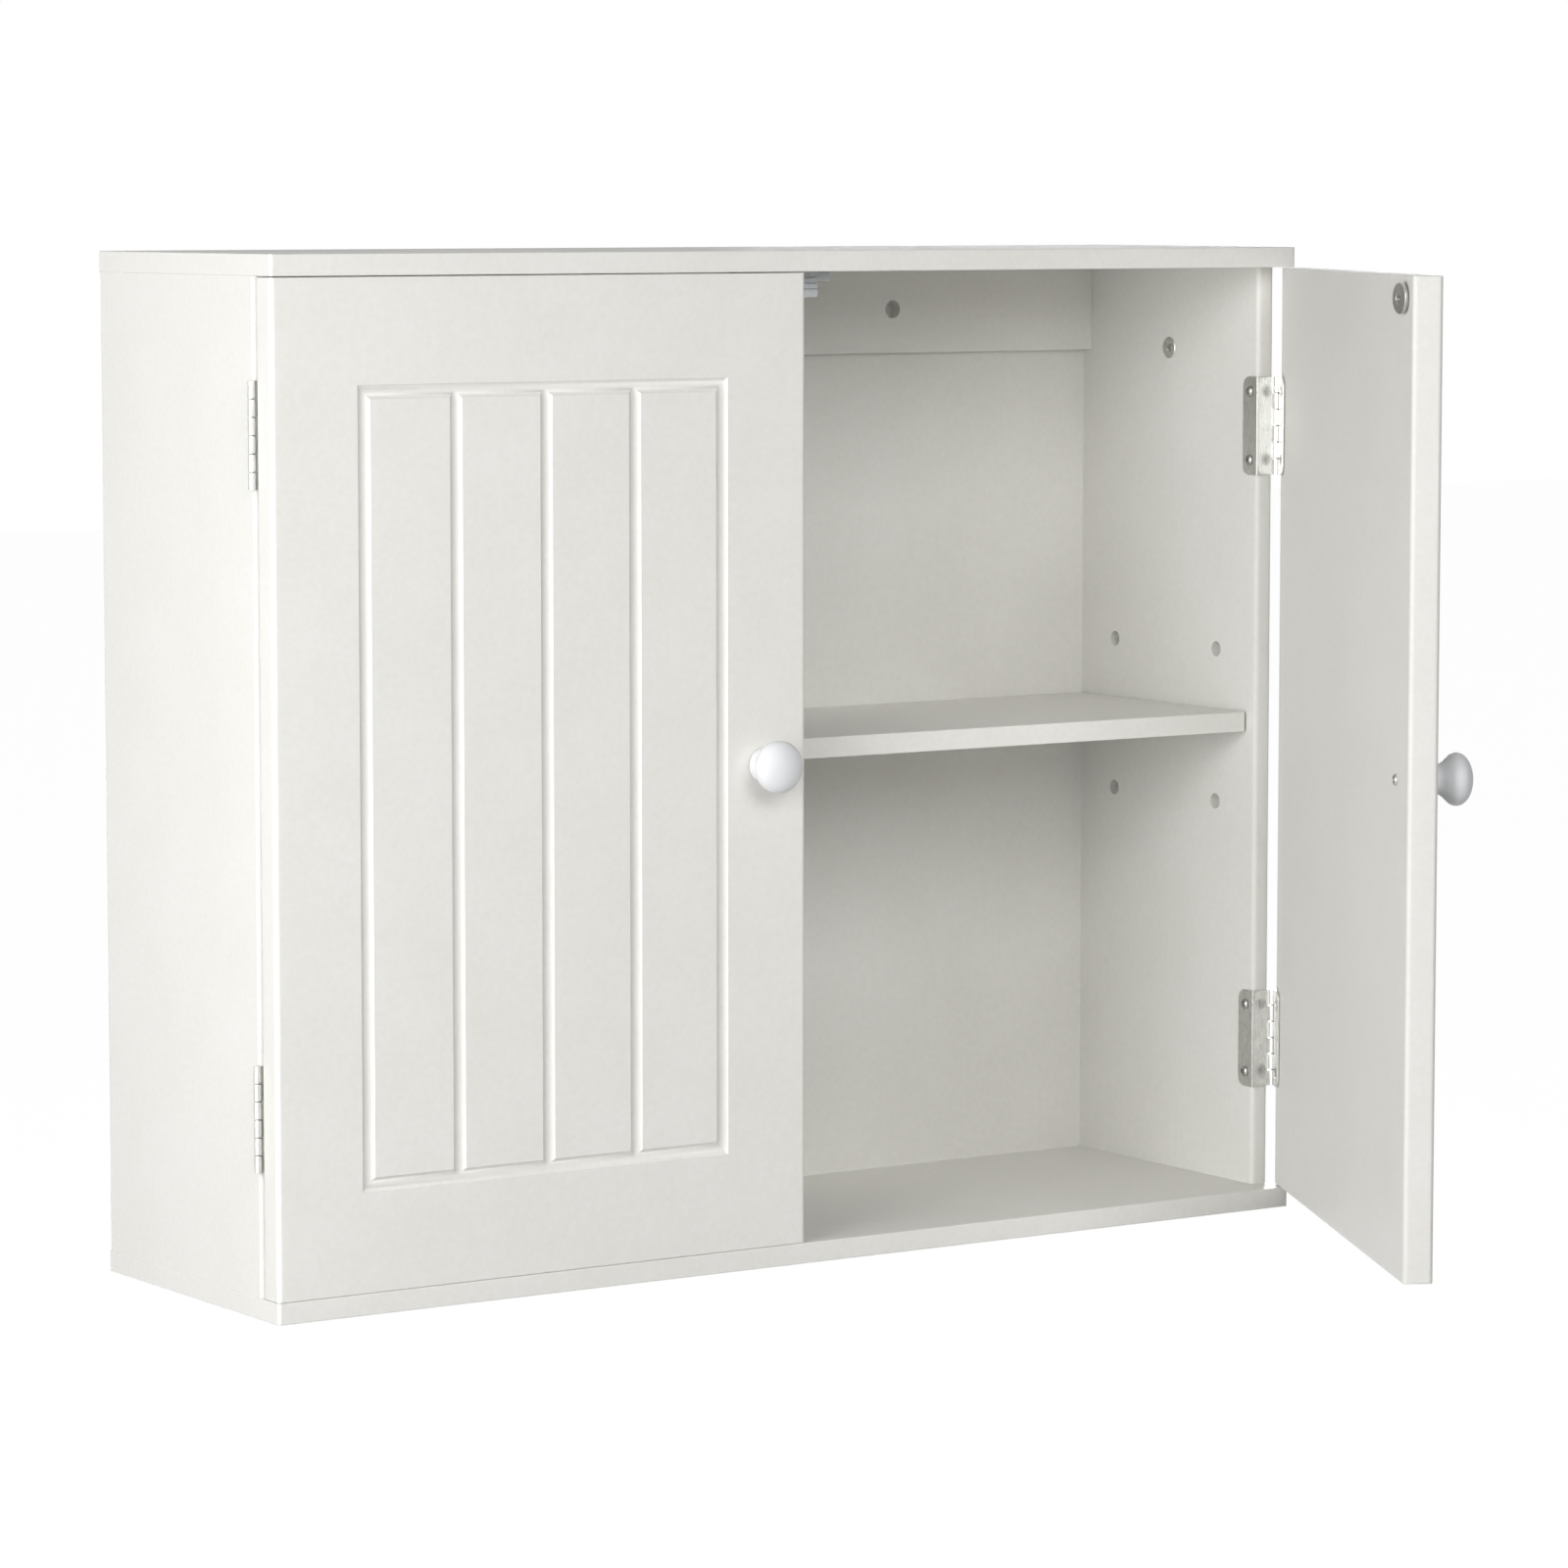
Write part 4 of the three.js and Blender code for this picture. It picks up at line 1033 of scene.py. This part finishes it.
bpy.ops.mesh.primitive_plane_add(size=40, location=(0, 0, CAD_BOX[0].z - FLOOR_DROP))
floor = bpy.context.object
floor.name = "pale_floor"
floor_paint = bpy.data.materials.new("pale_floor")
floor_paint.use_nodes = True
tree = floor_paint.node_tree
tree.nodes.clear()


def seen_directly(tree):
    """1 for the rays that show the background: camera, glossy and transmission rays."""
    path = add_node(tree, "ShaderNodeLightPath")
    two = add_node(tree, "ShaderNodeMath", {"operation": "MAXIMUM"},
                   {0: path.outputs["Is Camera Ray"], 1: path.outputs["Is Glossy Ray"]})
    three = add_node(tree, "ShaderNodeMath", {"operation": "MAXIMUM"},
                     {0: two.outputs[0], 1: path.outputs["Is Transmission Ray"]})
    return three.outputs[0]


matt = add_node(tree, "ShaderNodeBsdfDiffuse", {"Color": (0.8, 0.8, 0.8, 1)})
pale = add_node(tree, "ShaderNodeBsdfDiffuse", {"Color": (FLOOR_SEEN,) * 3 + (1,)})
glow = add_node(tree, "ShaderNodeEmission", {"Strength": FLOOR_GLOW})
shown = add_node(tree, "ShaderNodeAddShader", links={0: pale.outputs[0], 1: glow.outputs[0]})
both = add_node(tree, "ShaderNodeMixShader", links={
    0: seen_directly(tree), 1: matt.outputs[0], 2: shown.outputs[0]})
add_node(tree, "ShaderNodeOutputMaterial", links={"Surface": both.outputs[0]})
floor.data.materials.append(floor_paint)

AMBIENT = 0.03
world = bpy.data.worlds.new("white_surround")
bpy.context.scene.world = world
world.use_nodes = True
tree = world.node_tree
tree.nodes.clear()
dim = add_node(tree, "ShaderNodeBackground", {"Color": (1, 1, 1, 1), "Strength": AMBIENT})
white = add_node(tree, "ShaderNodeBackground", {"Color": (1, 1, 1, 1), "Strength": 1.0})
both = add_node(tree, "ShaderNodeMixShader", links={
    0: seen_directly(tree), 1: dim.outputs[0], 2: white.outputs[0]})
add_node(tree, "ShaderNodeOutputWorld", links={"Surface": both.outputs[0]})


def soft_lamp(name, place, aim, size, power):
    """A square area lamp that faces a point."""
    data = bpy.data.lights.new(name, "AREA")
    data.shape = "SQUARE"
    data.size = size
    data.energy = power
    lamp = bpy.data.objects.new(name, data)
    lamp.location = place
    lamp.rotation_mode = "QUATERNION"
    lamp.rotation_quaternion = (Vector(aim) - Vector(place)).to_track_quat("-Z", "Y")
    lamp.visible_camera = False
    bpy.context.scene.collection.objects.link(lamp)


# places and sizes in metres, power in watts
MIDDLE = (0, -0.1, -0.2)
soft_lamp("key_left", (-1.22, -0.54, -0.09), MIDDLE, 0.9, 10.4)
soft_lamp("fill_left", (-2.56, -1.58, 0.32), MIDDLE, 1.6, 28)
soft_lamp("key_front", (-0.47, -2.78, 1.07), MIDDLE, 1.6, 41)
soft_lamp("fill_back", (1.9, 2.0, -0.25), MIDDLE, 0.9, 40)

bpy.context.scene.view_settings.view_transform = "Standard"
